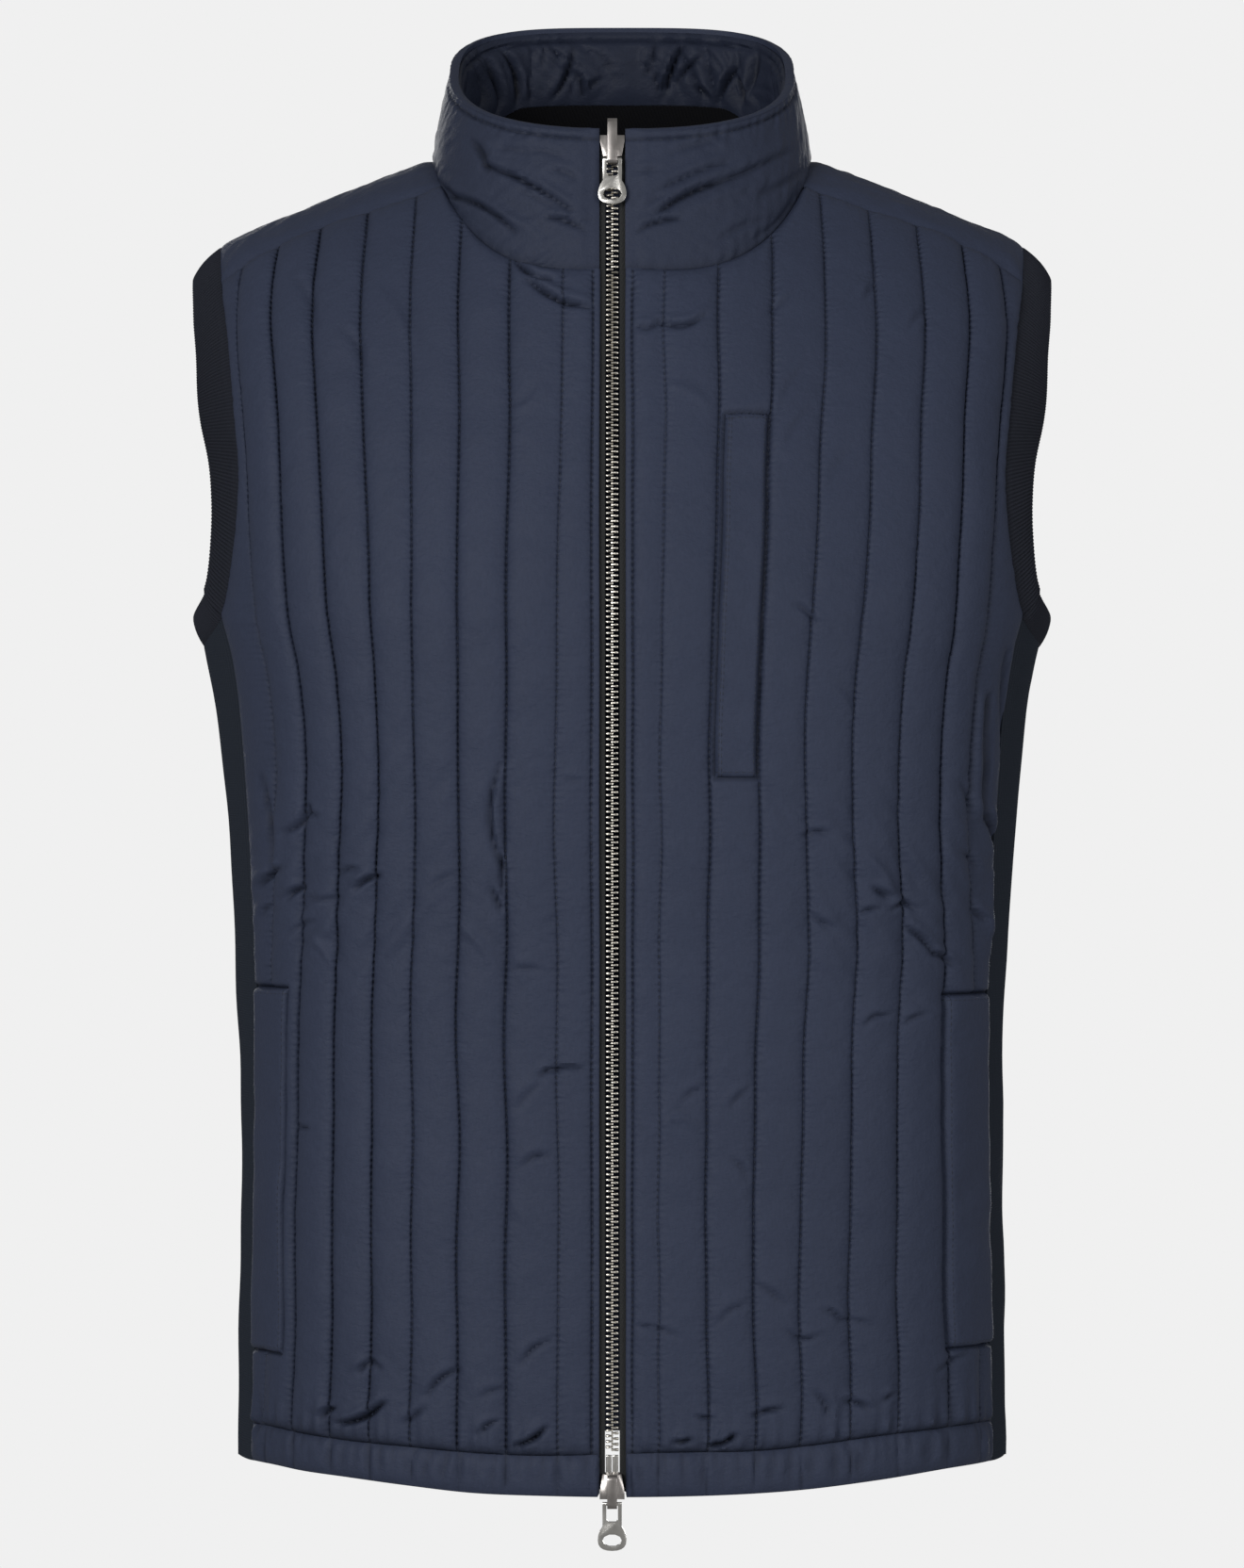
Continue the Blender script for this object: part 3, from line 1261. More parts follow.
def nylon_material(name, colour, roughness=0.6, quilting=None):
    """Thin downproof nylon: a fine plain weave, soft crumple and a dull shine, darker in its
    hollows. quilting holds the shift of the stitched lines and the place of the line along the
    edge, in metres."""
    made, shader, w, coords = new_material(name, roughness)
    place, cloth = coords["Object"], coords["UV"]
    crumple = w.effect("crumple", place, Scale=120.0)
    weave = w.effect("weave", cloth, Threads=1500.0)
    fleck = w.noise(w.mapped(place, (1.0, 1.0, 0.3)), 900.0, 2.0)
    shade = w.line(crumple["Shade"], 0.4, w.times(fleck, 0.6))
    base = mixed_colour(w, shade, scaled(colour, 0.8), scaled(colour, 1.2))
    layers = [(crumple["Height"], 0.7, 0.0011), (weave["Height"], 0.35, 0.0001)]
    if quilting:
        shift, edge = quilting
        stitching = w.effect("stitching", cloth, Shift=shift, Edge=edge, Pull=w.attribute("pull"))
        layers.append((stitching["Height"], 0.8, 0.0009))
        base = w.tinted(base, stitching["Shade"])
    light = w.math("SUBTRACT", 1.0, w.times(w.attribute("hollow"), 0.62))
    w.link(w.tinted(base, light), shader["Base Color"])
    w.link(w.line(crumple["Height"], 0.16, roughness - 0.08), shader["Roughness"])
    bumped(w, shader, layers)
    shader["Specular IOR Level"].default_value = 0.16
    return made


def knit_material(name, colour, ribs, stitches):
    """Matt knit with loops along its ribs and a little fuzz."""
    made, shader, w, coords = new_material(name, 0.85)
    knit = w.effect("knit", coords["UV"], Ribs=ribs, Stitches=stitches)
    fuzz = w.noise(coords["Object"], 900.0, 2.0)
    shade = w.line(knit["Shade"], 0.75, w.times(fuzz, 0.25))
    base = mixed_colour(w, shade, scaled(colour, 0.55), scaled(colour, 1.35))
    w.link(base, shader["Base Color"])
    bumped(w, shader, [(knit["Height"], 0.8, 0.0003), (fuzz, 0.25, 0.0003)])
    shader["Specular IOR Level"].default_value = 0.08
    return made


def tape_material(colour):
    """Woven zip tape: a twill whose threads slant along the tape."""
    made, shader, w, coords = new_material("zip tape weave", 0.8)
    turned = w.mapped(coords["UV"], rotation=(0, 0, math.radians(35)))
    weave = w.effect("weave", turned, Threads=1100.0)
    base = mixed_colour(w, weave["Height"], scaled(colour, 0.6), scaled(colour, 1.4))
    w.link(base, shader["Base Color"])
    bumped(w, shader, [(weave["Height"], 0.7, 0.0003)])
    return made


def metal_material(name, colour, roughness):
    """Bright plated zip metal with fine brushing and slightly duller, darker smudges."""
    made, shader, w, coords = new_material(name, roughness, 1.0)
    place = coords["Object"]
    brushed = w.noise(w.mapped(place, (6.0, 1.0, 1.0)), 700.0, 3.0, 0.6)
    smudge = w.noise(place, 160.0, 2.0)
    base = mixed_colour(w, smudge, scaled(colour, 0.72), scaled(colour, 1.12))
    w.link(base, shader["Base Color"])
    w.link(w.line(smudge, 0.2, roughness - 0.1), shader["Roughness"])
    bumped(w, shader, [(brushed, 0.15, 0.0001)])
    return made


def thread_material(name, colour):
    """Twisted sewing thread: short diagonal shading along the stitches."""
    made, shader, w, coords = new_material(name, 0.55)
    twist = w.noise(coords["Object"], 2600.0, 1.0)
    base = mixed_colour(w, twist, scaled(colour, 0.75), scaled(colour, 1.3))
    w.link(base, shader["Base Color"])
    bumped(w, shader, [(twist, 0.3, 0.0001)])
    return made


finishes = {}


def finish(name):
    """A named finish, made once from the colours in the scene's settings."""
    colours = bpy.context.scene.vest_colours
    quilting = {"fronts": (0.0, EDGE_STITCH / 1000), "back": (0.5, 1.0)}

    def quilted(part):
        return nylon_material("navy nylon of the " + part, colours.nylon, quilting=quilting[part])

    makers = {
        "nylon": lambda: nylon_material("navy nylon", colours.nylon),
        "quilted_fronts": lambda: quilted("fronts"),
        "quilted_back": lambda: quilted("back"),
        "collar": lambda: nylon_material("collar nylon", scaled(colours.nylon, 0.86)),
        "lining": lambda: nylon_material("navy lining nylon", colours.lining, 0.55),
        "side_knit": lambda: knit_material("dark side knit", colours.side_knit, SIDE_KNIT, 900),
        "rib_knit": lambda: knit_material("rib knit", colours.rib_knit, BAND_KNIT, 900),
        "black_knit": lambda: knit_material("black knit", colours.black_knit, 550, 800),
        "tape": lambda: tape_material(colours.tape),
        "metal": lambda: metal_material("bright zip metal", colours.metal, 0.24),
        "slider": lambda: metal_material("dull zip metal", colours.slider, 0.32),
        "teeth": lambda: metal_material("zip teeth metal", colours.teeth, 0.3),
        "thread": lambda: thread_material("navy thread", colours.thread),
    }
    if name not in finishes:
        finishes[name] = makers[name]()
    return finishes[name]


# Stitching


def resampled(path, step):
    """Points along a path at even steps, with the direction there."""
    length = np.concatenate([[0], np.cumsum(np.linalg.norm(np.diff(path, axis=0), axis=1))])
    at = np.arange(step / 2, length[-1], step)
    places = np.stack([np.interp(at, length, path[:, k]) for k in range(3)], -1)
    ahead = np.stack([np.interp(at + step / 4, length, path[:, k]) for k in range(3)], -1)
    behind = np.stack([np.interp(at - step / 4, length, path[:, k]) for k in range(3)], -1)
    return places, unit(ahead - behind), at / length[-1]


def values_along(path, values, share):
    """A list of vectors that goes with the path's points, read at shares of its length."""
    length = np.concatenate([[0], np.cumsum(np.linalg.norm(np.diff(path, axis=0), axis=1))])
    at = share * length[-1]
    return unit(np.stack([np.interp(at, length, values[:, k]) for k in range(3)], -1))


STITCH_RINGS = ((-0.5, 0.35, -0.5), (0, 1, 0.15), (0.5, 0.35, -0.5))


def stitch_points(path, normals):
    """Every stitch of a seam as a small lozenge with three rings of four points, whose ends dip
    into the cloth."""
    sizes = bpy.context.scene.vest_sizes
    places, along, share = resampled(path, sizes.stitch_pitch)
    normal = values_along(path, normals, share)
    across = unit(np.cross(along, normal))
    normal = np.cross(across, along)
    rings = []
    for shift, size, height in STITCH_RINGS:
        middle = places + along * (shift * sizes.stitch_length) + normal * (height * sizes.thread_radius)
        for turn in (0.25, 0.75, 1.25, 1.75):
            way = across * math.cos(turn * math.pi) + normal * math.sin(turn * math.pi)
            rings.append(middle + sizes.thread_radius * size * way)
    return np.stack(rings, 1)


def ring_quads(rings, points):
    """Quads between the neighbours of several rings of points, which are numbered in turn."""
    quads = []
    for ring in range(rings - 1):
        a = ring * points
        for k in range(points):
            n = (k + 1) % points
            quads.append([a + k, a + n, a + points + n, a + points + k])
    return quads


def stitching_piece(name, runs):
    """All the stitches of several seams as one piece. A run is a path with its normals."""
    stitches = np.concatenate([stitch_points(*run) for run in runs])
    local = np.array(ring_quads(3, 4) + [[3, 2, 1, 0], [8, 9, 10, 11]])
    quads = (np.arange(len(stitches))[:, None, None] * 12 + local[None]).reshape(-1, 4)
    mesh = fill_mesh(name, stitches.reshape(-1, 3), quads, sharp=180)
    add_piece(name, mesh, finish("thread"))


# Pieces


class VEST_OT_quilted_panels(Operator):
    """Lays the fine quilting over both fronts and the back, with its stitches"""

    bl_idname = "vest.quilted_panels"
    bl_label = "Quilted Panels"

    def execute(self, context):
        for name in ("front_right", "front_left", "back"):
            cloth = panel(name)
            surface = "quilted_back" if name == "back" else "quilted_fronts"
            walls = cloth.points, cloth.base - cloth.normals * WALL
            values = {"pull": cloth.pull, "hollow": cloth.hollow}
            places = cloth.u[None, :], cloth.v
            piece = cloth_piece(
                name + "_quilting", name, surface, walls, places, values, turned=cloth.turned
            )
            seams = [int(np.argmin(np.abs(cloth.u - line))) for line in cloth.lines[1:-1]]
            stitching_piece(name + "_stitching", [(cloth.points[:, j], cloth.normals[:, j]) for j in seams])
        return {"FINISHED"}


def band_cloth(name):
    """The band below a panel: padded between the seam and the turned-in edge, with the quilting
    lines carried on as small gathers. It gives the form, its normals, the cloth, its measures
    and its hollows."""
    cloth = panel(name)
    u = cloth.u
    top = (HEM_BAND - GAP / 2) / (CHEST_Z - HEM_Z)
    share = np.append(spaced(0, 1, 22, 0.8), 1)[:, None]
    level = np.repeat(top * share, len(u), 1)
    arc = panel_arc(name, u)(level)
    if name in LINE_SHIFT:
        arc = arc + SIDES[name] * line_shift(name, u, np.full(len(u), HEM_Z))
    base, normal = on_form(arc, level, "back" if name == "back" else "front")
    seed = {"front_right": 61, "front_left": 62, "back": 63}[name]
    up = share * HEM_BAND
    wide = np.repeat(u[None, :], len(share), 0)
    row = np.zeros(wide.shape, int)
    near = np.min(np.abs(u[None, :] - cloth.lines[:, None]), 0)[None, :]
    body = BAND_HEIGHT * (1 - np.abs(2 * share - 1) ** 3.2) * (1 - 0.5 * np.exp(-near / 1.8))
    gather = ripples(wide, row, 7, seed) * np.exp(-(HEM_BAND - up) / 6)
    gather += 0.6 * ripples(wide, row + 1, 11, seed + 9) * (1 - np.abs(2 * share - 1))
    lift = body * (1 + 0.1 * ripples(wide, row + 2, 40, seed)) + 0.75 * gather * body / BAND_HEIGHT
    lift -= 0.6 * (share < 0.001)
    ends = np.minimum(np.abs(wide - u[0]), np.abs(u[-1] - wide))
    lift *= ease(ends / 1.4 + 0.15)
    uneven = np.clip(0.5 + 0.6 * waves(wide, up, 18, seed + 20), 0, 1)
    hollow = np.maximum(0.3 * np.clip(-gather, 0, 1), 0.6 * uneven * np.exp(-((near / 0.9) ** 2)))
    return base, normal, base + normal * lift[..., None], (wide, up), hollow


class VEST_OT_hem_bands(Operator):
    """Adds the padded bands along the hem"""

    bl_idname = "vest.hem_bands"
    bl_label = "Hem Bands"

    def execute(self, context):
        for name in ("front_right", "front_left", "back"):
            node = "hem_band_" + name
            base, normal, outer, places, hollow = band_cloth(name)
            walls = outer, base - normal * WALL
            values = {"hollow": hollow}
            turned = panel(name).turned
            piece = cloth_piece(
                node + "_cloth", node, "nylon", walls, places, values, turned=turned
            )
        return {"FINISHED"}


def shoulder_cloth(side):
    """A strip over the shoulder from seam to seam, and from the neckline to the armhole. Rows go
    from the front seam over the ridge to the back seam."""
    columns = 57
    half_rows = 25
    across = np.append(spaced(0, 1, columns - 1, 0.25), 1)

    def seam_level(x):
        return seam_level_over(x) + LEVEL_GAP / 2

    rows = []
    for face in ("front", "back"):
        shares = np.linspace(0, 1, half_rows)
        for share in shares if face == "front" else shares[:-1][::-1]:

            def level_over(x, share=share):
                return seam_level(x) + (2 - seam_level(x)) * share

            def inside(x, face=face, level_over=level_over):
                p = arch_point(x, (level_over(x) - 1) * math.pi / 2, face)
                return plan_value(NECK, p[..., 0], p[..., 1]) >= 1

            start = bisect(60, NECK["half"] + 3, inside)
            end = smooth(ARMHOLE, "level", level_over(ARCH_ARM_X), "x")
            x = start + (end - start) * across
            level = level_over(x)
            turn = (level - 1) * math.pi / 2
            at = arch_point(side * x, turn, face)
            dx = arch_point(side * x + 0.4, turn, face) - arch_point(side * x - 0.4, turn, face)
            dl = arch_point(side * x, turn + 0.003, face) - arch_point(side * x, turn - 0.003, face)
            normal = unit(np.cross(dx, dl)) * (1 if face == "front" else -1)
            rows.append((at, normal))
    base = np.array([row[0] for row in rows])
    normal = np.array([row[1] for row in rows])
    up = along_columns(base)
    wide = along_columns(base.transpose(1, 0, 2)).T
    from_edge = np.minimum(np.minimum(up, up[-1] - up), np.minimum(wide, wide[:, -1:] - wide))
    lift = YOKE_RISE * (1 - np.exp(-from_edge / 4))
    seed = 71 if side < 0 else 72
    x, y = base[..., 0], base[..., 1]
    lift += (0.22 * waves(x, y, 22, seed) + 0.12 * waves(x, y, 9, seed + 5)) * ease(from_edge / 6)
    return base, normal, base + normal * lift[..., None], (wide, up)


class VEST_OT_shoulder_strips(Operator):
    """Adds the plain padded strips over both shoulders"""

    bl_idname = "vest.shoulder_strips"
    bl_label = "Shoulder Strips"

    def execute(self, context):
        for hand, side in HANDS:
            name = "shoulder_" + hand
            base, normal, outer, places = shoulder_cloth(side)
            walls = outer, base - normal * WALL
            piece = cloth_piece(name + "_cloth", name, "nylon", walls, places, turned=side < 0)
        return {"FINISHED"}


def seam_level_at(z, corner_z):
    """Level on the side seam at a height. Its last stretch runs up to the underarm corner."""
    low = (z - HEM_Z) / (CHEST_Z - HEM_Z)
    high = 1 + (UNDERARM_LEVEL - 1) * (z - CHEST_Z) / (corner_z - CHEST_Z)
    return np.where(z <= CHEST_Z, low, high)


def underarm_corner():
    arc = edge_arc(np.array(UNDERARM_LEVEL), "front")
    return float(form_point(arc, UNDERARM_LEVEL, "front")[..., 2])


def side_base(side, share, z):
    """A side panel's form by share of the way from its front seam to its back seam."""
    edge = smooth(SIDE_SEAM, "level", seam_level_at(z, underarm_corner()), "arc")
    low = edge - SIDE_TUCK
    arc = low + (ring_length(z) - 2 * low) * share
    x, y = ring_point(z, side * arc)
    return np.stack([x, y, z + 0 * x], -1)


SIDE_RIBS = 52


def side_cloth(side):
    """A side panel's form and normals up to the underarm's dip, four columns to a rib, with each
    point's share of the way across and its height above the hem."""
    share = np.linspace(0, 1, SIDE_RIBS * 4 + 1)
    rows = np.linspace(0, 1, 53)[:, None]
    top = underarm_corner() - UNDERARM_DIP * np.sin(math.pi * share) ** 0.7
    z = HEM_Z + (top[None, :] - HEM_Z) * rows
    wide = np.repeat(share[None, :], len(rows), 0)
    base = side_base(side, wide, z)
    across = side_base(side, wide + 0.004, z) - side_base(side, wide - 0.004, z)
    up = side_base(side, wide, z + 0.8) - side_base(side, wide, z - 0.8)
    normal = unit(np.cross(across, up)) * side
    return base, normal, wide, z - HEM_Z


class VEST_OT_side_panels(Operator):
    """Adds the knitted side panels with their upright ribs"""

    bl_idname = "vest.side_panels"
    bl_label = "Side Panels"

    def execute(self, context):
        sizes = context.scene.vest_sizes
        for hand, side in HANDS:
            name = "side_" + hand
            base, normal, wide, up = side_cloth(side)
            rib = 0.5 - 0.5 * np.cos(2 * math.pi * wide * SIDE_RIBS)
            seed = 81 if side < 0 else 82
            sag = 0.5 * waves(base[..., 1], base[..., 2], 60, seed, 10) * np.sin(math.pi * wide)
            edge = ease(np.minimum(wide, 1 - wide) / 0.05)
            lift = sizes.rib_height * rib * edge + sag - 0.25 * (1 - edge)
            outer = base + normal * lift[..., None]
            walls = outer, base - normal * SIDE_WALL
            places = wide * SIDE_RIBS / SIDE_KNIT * 1000, up
            piece = cloth_piece(
                name + "_knit", name, "side_knit", walls, places, turned=side < 0
            )
        return {"FINISHED"}


def armhole_loop(side):
    """The closed edge that a band is sewn to: up the front, over the strip, down the back and
    round the underarm. Each point has the cloth's normal."""
    front = panel("front_right" if side < 0 else "front_left")
    back = panel("back")
    first, rear_first = PANEL_ROWS["front"][0], PANEL_ROWS["back"][0]
    rear = 0 if side < 0 else -1
    strip, strip_normal = shoulder_cloth(side)[:2]
    under, under_normal = side_cloth(side)[:2]
    points = [
        front.base[first:, -1],
        strip[1:-1, -1],
        back.base[rear_first:, rear][::-1],
        under[-1, 3:-3][::-1],
    ]
    normals = [
        front.normals[first:, -1],
        strip_normal[1:-1, -1],
        back.normals[rear_first:, rear][::-1],
        under_normal[-1, 3:-3][::-1],
    ]
    return np.concatenate(points), np.concatenate(normals)


def band_surface(side, ribs):
    """A band's points by place round the armhole and share of its width. It leaves the edge
    leaning in towards the arm by an angle and for a width that change round the hole."""
    edge, normal = armhole_loop(side)
    edge = np.vstack([edge, edge[:1]])
    normal = np.vstack([normal, normal[:1]])
    length = np.concatenate([[0], np.cumsum(np.linalg.norm(np.diff(edge, axis=0), axis=1))])
    count = ribs * 4
    at = np.arange(count) * length[-1] / count
    place = np.stack([np.interp(at, length, edge[:, k]) for k in range(3)], -1)
    facing = unit(np.stack([np.interp(at, length, normal[:, k]) for k in range(3)], -1))
    soft = np.concatenate([facing[-24:], facing, facing[:24]])
    kernel = np.hanning(33)
    kernel /= kernel.sum()
    facing = unit(np.stack([np.convolve(soft[:, k], kernel, "same")[24:-24] for k in range(3)], -1))
    dy, dz = place[:, 1] - ARMHOLE_CENTRE["y"], place[:, 2] - ARMHOLE_CENTRE["z"]
    far = np.hypot(dy, dz)
    up = dz / far

    def sized(sizes):
        return sizes["side"] + sizes["ends"] * up * up + sizes["top"] * up

    lean = np.radians(sized(BAND_LEAN))
    width = sized(BAND_WIDTH)
    along = np.stack([side * np.cos(lean), -np.sin(lean) * dy / far, -np.sin(lean) * dz / far], -1)
    across = unit(facing - along * np.sum(facing * along, -1, keepdims=True))
    share = np.append(spaced(0, 1, 10, 0.7), 1)[:, None, None]
    points = place + along * (GAP + (width[:, None] - GAP) * share)
    points = points + across * (BAND_BELLY * np.sin(math.pi * share))
    turn = ease(share / 0.15)
    out = unit(facing * (1 - turn) + across * turn)
    return points, out, share[..., 0], np.broadcast_to(at, points.shape[:2]), width


class VEST_OT_armhole_bands(Operator):
    """Adds the ribbed knit bands round both armholes"""

    bl_idname = "vest.armhole_bands"
    bl_label = "Armhole Bands"

    def execute(self, context):
        sizes = context.scene.vest_sizes
        for hand, side in HANDS:
            name = "armhole_band_" + hand
            base, normal, share, at, width = band_surface(side, sizes.band_ribs)
            count = base.shape[1]
            rib = 0.5 - 0.5 * np.cos(2 * math.pi * np.arange(count) / 4)
            edge = 1 - share
            rounded = np.sqrt(np.clip(1 - (1 - np.clip(edge / 0.09, 0, 1)) ** 2, 0, 1))
            start = 1 - 0.5 * np.exp(-share / 0.03)
            lift = sizes.rib_height * 1.15 * rib[None, :] * start * rounded - BAND_WALL / 2 * (1 - rounded)
            lift += 0.25 * waves(at, share * 20, 45, 91, 8) * np.sin(math.pi * share)
            outer = base + normal * lift[..., None]
            inner = base - normal * (BAND_WALL - BAND_WALL / 2 * (1 - rounded))[..., None]
            walls = outer, inner
            places = np.arange(count)[None, :] / 4 / BAND_KNIT * 1000, share * width[None, :]
            piece = cloth_piece(
                name + "_knit", name, "rib_knit", walls, places, wrap=True, turned=side > 0
            )
        return {"FINISHED"}


# Collar


def form_height(x, y):
    """Height of the body form over a point of the plan, above the chest."""
    heights = []
    for face, toward in (("front", -1), ("back", 1)):
        reach = chest_depth(x, face) - toward * RIDGE_Y
        turn = np.arccos(np.clip(toward * (y - RIDGE_Y) / reach, 0, 1))
        heights.append(arch_point(x, turn, face)[..., 2])
    return np.where(y < RIDGE_Y, heights[0], heights[1])


def collar_top(turn):
    """The collar's top edge. Beside the zip it stands straight above the neckline."""
    bx = plan_point(NECK, turn)[0]
    tx, ty = plan_point(COLLAR_TOP, turn)
    span = COLLAR_STRAIGHT["to"] - COLLAR_STRAIGHT["from"]
    fade = ease(np.minimum((COLLAR_STRAIGHT["to"] - np.abs(bx)) / span, 1))
    x = tx + (bx - tx) * fade
    power = COLLAR_TOP["front_power"]
    depth = np.maximum(1 - (np.abs(x) / COLLAR_TOP["half"]) ** power, 0) ** (1 / power)
    straight = (np.cos(turn) > 0) & (np.abs(bx) < COLLAR_STRAIGHT["to"])
    return np.where(straight, x, tx), np.where(straight, -COLLAR_TOP["front"] * depth, ty)


def collar_point(turn, share):
    """A straight way from the neckline to the top edge, which rises towards the back."""
    bx, by = plan_point(NECK, turn)
    tx, ty = collar_top(turn)
    base = np.stack([bx, by, form_height(bx, by)], -1)
    top = np.stack([tx, ty, COLLAR_TOP_FRONT_Z + COLLAR_TOP_RISE * (ty + COLLAR_TOP["front"])], -1)
    way = top - base
    start = -NECK_TUCK / np.linalg.norm(way, axis=-1)
    return base + way * (start + (1 - start) * share)[..., None]


def on_collar(turn, share):
    turn, share = np.broadcast_arrays(np.asarray(turn, float), np.asarray(share, float))
    around = collar_point(turn + 0.004, share) - collar_point(turn - 0.004, share)
    up = collar_point(turn, share + 0.01) - collar_point(turn, share - 0.01)
    return collar_point(turn, share), unit(np.cross(around, up))


def turn_at(x):
    """Turn at which the neckline passes x, in front."""
    turn = bisect(0.0, math.pi / 2, lambda t: plan_point(NECK, t)[0] >= abs(x))
    return float(turn) * (1 if x > 0 else -1)


def collar_turns(from_zip, count):
    """Turns from one end of the collar, round the back, to its other end beside the zip, drawn
    close where the wrinkles are fine."""
    start = turn_at(ZIP_X + from_zip)
    end = 2 * math.pi + turn_at(ZIP_X - from_zip)
    return start + (end - start) * np.append(spaced(0, 1, count, 0.1), 1)


COLLAR_STITCH = 5.6


def collar_cloth():
    """The collar's outside: padded between the neck seam and the top edge, which rolls over to
    the inside, with drags in the padding."""
    turns = collar_turns(FOLD_EDGE, 420)
    shares = np.append(spaced(0, 1, 60, 0.5), 1)
    turn, share = np.meshgrid(turns, shares)
    base, normal = on_collar(turn, share)
    x, z = base[..., 0], base[..., 2]
    up = along_columns(base)
    wide = along_columns(base.transpose(1, 0, 2)).T
    row = np.zeros(wide.shape, int)
    from_top = up[-1] - up
    lift = 0.55 * smooth(COLLAR_ROWS, "share", share, "lift")
    rolled = -0.8 + 3.0 * np.sqrt(np.clip(from_top / 3.2, 0, 1))
    lift = np.where(share > 0.97, rolled, np.maximum(lift, 0.9 * ease(share / 0.1)))
    stitched = np.exp(-(((from_top - COLLAR_STITCH) / 0.9) ** 2))
    lift = lift - 1.2 * stitched
    lift += 0.35 * ripples(wide, row, 6.5, 31) * np.exp(-np.abs(from_top - COLLAR_STITCH) / 3)
    lift += 0.4 * ripples(wide, row + 1, 8.0, 32) * np.exp(-up / 5) * np.minimum(up / 2, 1)
    hold = ease(up / 3) * ease((from_top - 2) / 4)
    in_front = crease_lift(x, z, COLLAR_CREASES, 1.5)
    behind = crease_lift(x, z, COLLAR_BACK_CREASES, 1.5)
    drags = np.where(base[..., 1] < 0, in_front, behind) * hold
    across = z + 0.55 * np.abs(x)
    along = np.abs(x) - 0.55 * z
    fine = 1 - np.abs(waves(across, along / 4.5, 11, 33)) ** 0.7
    lift += drags - 0.3 * fine * hold * np.exp(-np.abs(np.abs(x) - 42) / 34)
    lift += (0.12 * waves(wide, up, 20, 35) + 0.08 * waves(wide, up, 9, 34)) * hold
    from_zip = np.minimum(wide, wide[:, -1:] - wide)
    folded = 0.3 * ease(from_zip / 1.5) - 0.4 * np.exp(-from_zip / 0.35)
    beside = lift * (0.12 + 0.88 * ease((from_zip - 3.2) / 6))
    lift = np.where(from_zip < 3.2, np.minimum(lift, folded), beside)
    cloth = Cloth(base + normal * lift[..., None], normal, wide, up)
    cloth.base = base
    cloth.from_zip = from_zip
    cloth.from_top = from_top
    seams = np.maximum(0.7 * np.exp(-up / 1.8), 0.5 * stitched)
    cloth.hollow = np.maximum(fold_shade(1.25 * drags), seams)
    return cloth


class VEST_OT_collar(Operator):
    """Adds the padded stand collar with its topstitching"""

    bl_idname = "vest.collar"
    bl_label = "Collar"

    def execute(self, context):
        cloth = collar_cloth()
        thick = np.where(cloth.from_zip < 12, WALL, COLLAR_WALL)
        walls = cloth.points, cloth.base - cloth.normals * thick[..., None]
        places = cloth.u, cloth.v
        values = {"hollow": cloth.hollow}
        piece = cloth_piece("collar_cloth", "collar", "collar", walls, places, values)
        middle = cloth.from_top[:, cloth.points.shape[1] // 2]
        row = int(np.argmin(np.abs(middle - COLLAR_STITCH)))
        stitching_piece("collar_stitching", [(cloth.points[row], cloth.normals[row])])
        return {"FINISHED"}


def level_meet(turn, share):
    """How much higher the lining and the knit band meet at the sides of the neck than behind it,
    as a share of the collar's height, so that their seam is level."""
    place = collar_point(turn, share)
    aside = np.abs(place[..., 0])
    return 0.085 * (1 - np.exp(-((aside / 40) ** 2))) * ease((68 - aside) / 18) * (place[..., 1] > 0)


def lining_cloth(low, high, gathers, seed):
    """A layer on the inside of the collar, gathered towards its upper edge. It gives the side
    on the collar, the one that shows, its measures and its hollows."""
    turns = collar_turns(FOLD_EDGE + LINING["set_back"], 420)
    shares = low + (high - low) * np.linspace(0, 1, 31)
    turn, share = np.meshgrid(turns, shares)
    t = (share - low) / (high - low)
    share = share + level_meet(turn, share) * (t if high < 0.5 else 1 - t)
    base, normal = on_collar(turn, share)
    up = along_columns(base)
    wide = along_columns(base.transpose(1, 0, 2)).T
    row = np.zeros(wide.shape, int)
    drift = 5 * waves(wide, up, 45, seed + 2, 10)
    main = np.abs(ripples(wide + up * 0.4 + drift, row, 34, seed)) ** 0.6
    short = np.abs(ripples(wide - up * 0.7 + drift, row + 1, 17, seed + 1)) ** 0.7
    dome = 1 - np.abs(2 * t - 1) ** 3
    lift = gathers * (0.5 + 1.1 * main + 0.6 * short * t) * dome
    folded = gathers > 1
    folds = crease_lift(base[..., 0], base[..., 2], LINING_CREASES, 1.6)
    folds = folds * (base[..., 1] > 0) * dome * folded
    from_top = up[-1] - up
    stitched = np.exp(-(((from_top - 4.5) / 1.1) ** 2)) * folded
    lift = np.maximum(lift + folds, 0) * (1 - stitched)
    behind = base - normal * LINING["front"]
    shown = base - normal * (LINING["front"] + LINING["thick"] + lift[..., None])
    return behind, shown, (wide, up), fold_shade(folds)


class VEST_OT_collar_inside(Operator):
    """Adds the gathered lining and the knit band on the inside of the collar"""

    bl_idname = "vest.collar_inside"
    bl_label = "Collar Inside"

    def execute(self, context):
        meet = LINING["meet"]
        layers = (
            ("collar_lining", meet + LINING["meet_gap"], LINING["top"], 1.9, 41, "lining", "lining_nylon"),
            ("neck_band", LINING["low"], meet, 0.15, 44, "black_knit", "black_knit"),
        )
        for name, low, high, gathers, seed, surface, slot in layers:
            behind, shown, places, hollow = lining_cloth(low, high, gathers, seed)
            values = {"hollow": hollow}
            piece = cloth_piece(
                name + "_cloth", name, surface, (shown, behind), places, values, turned=True
            )
        return {"FINISHED"}


# Welts


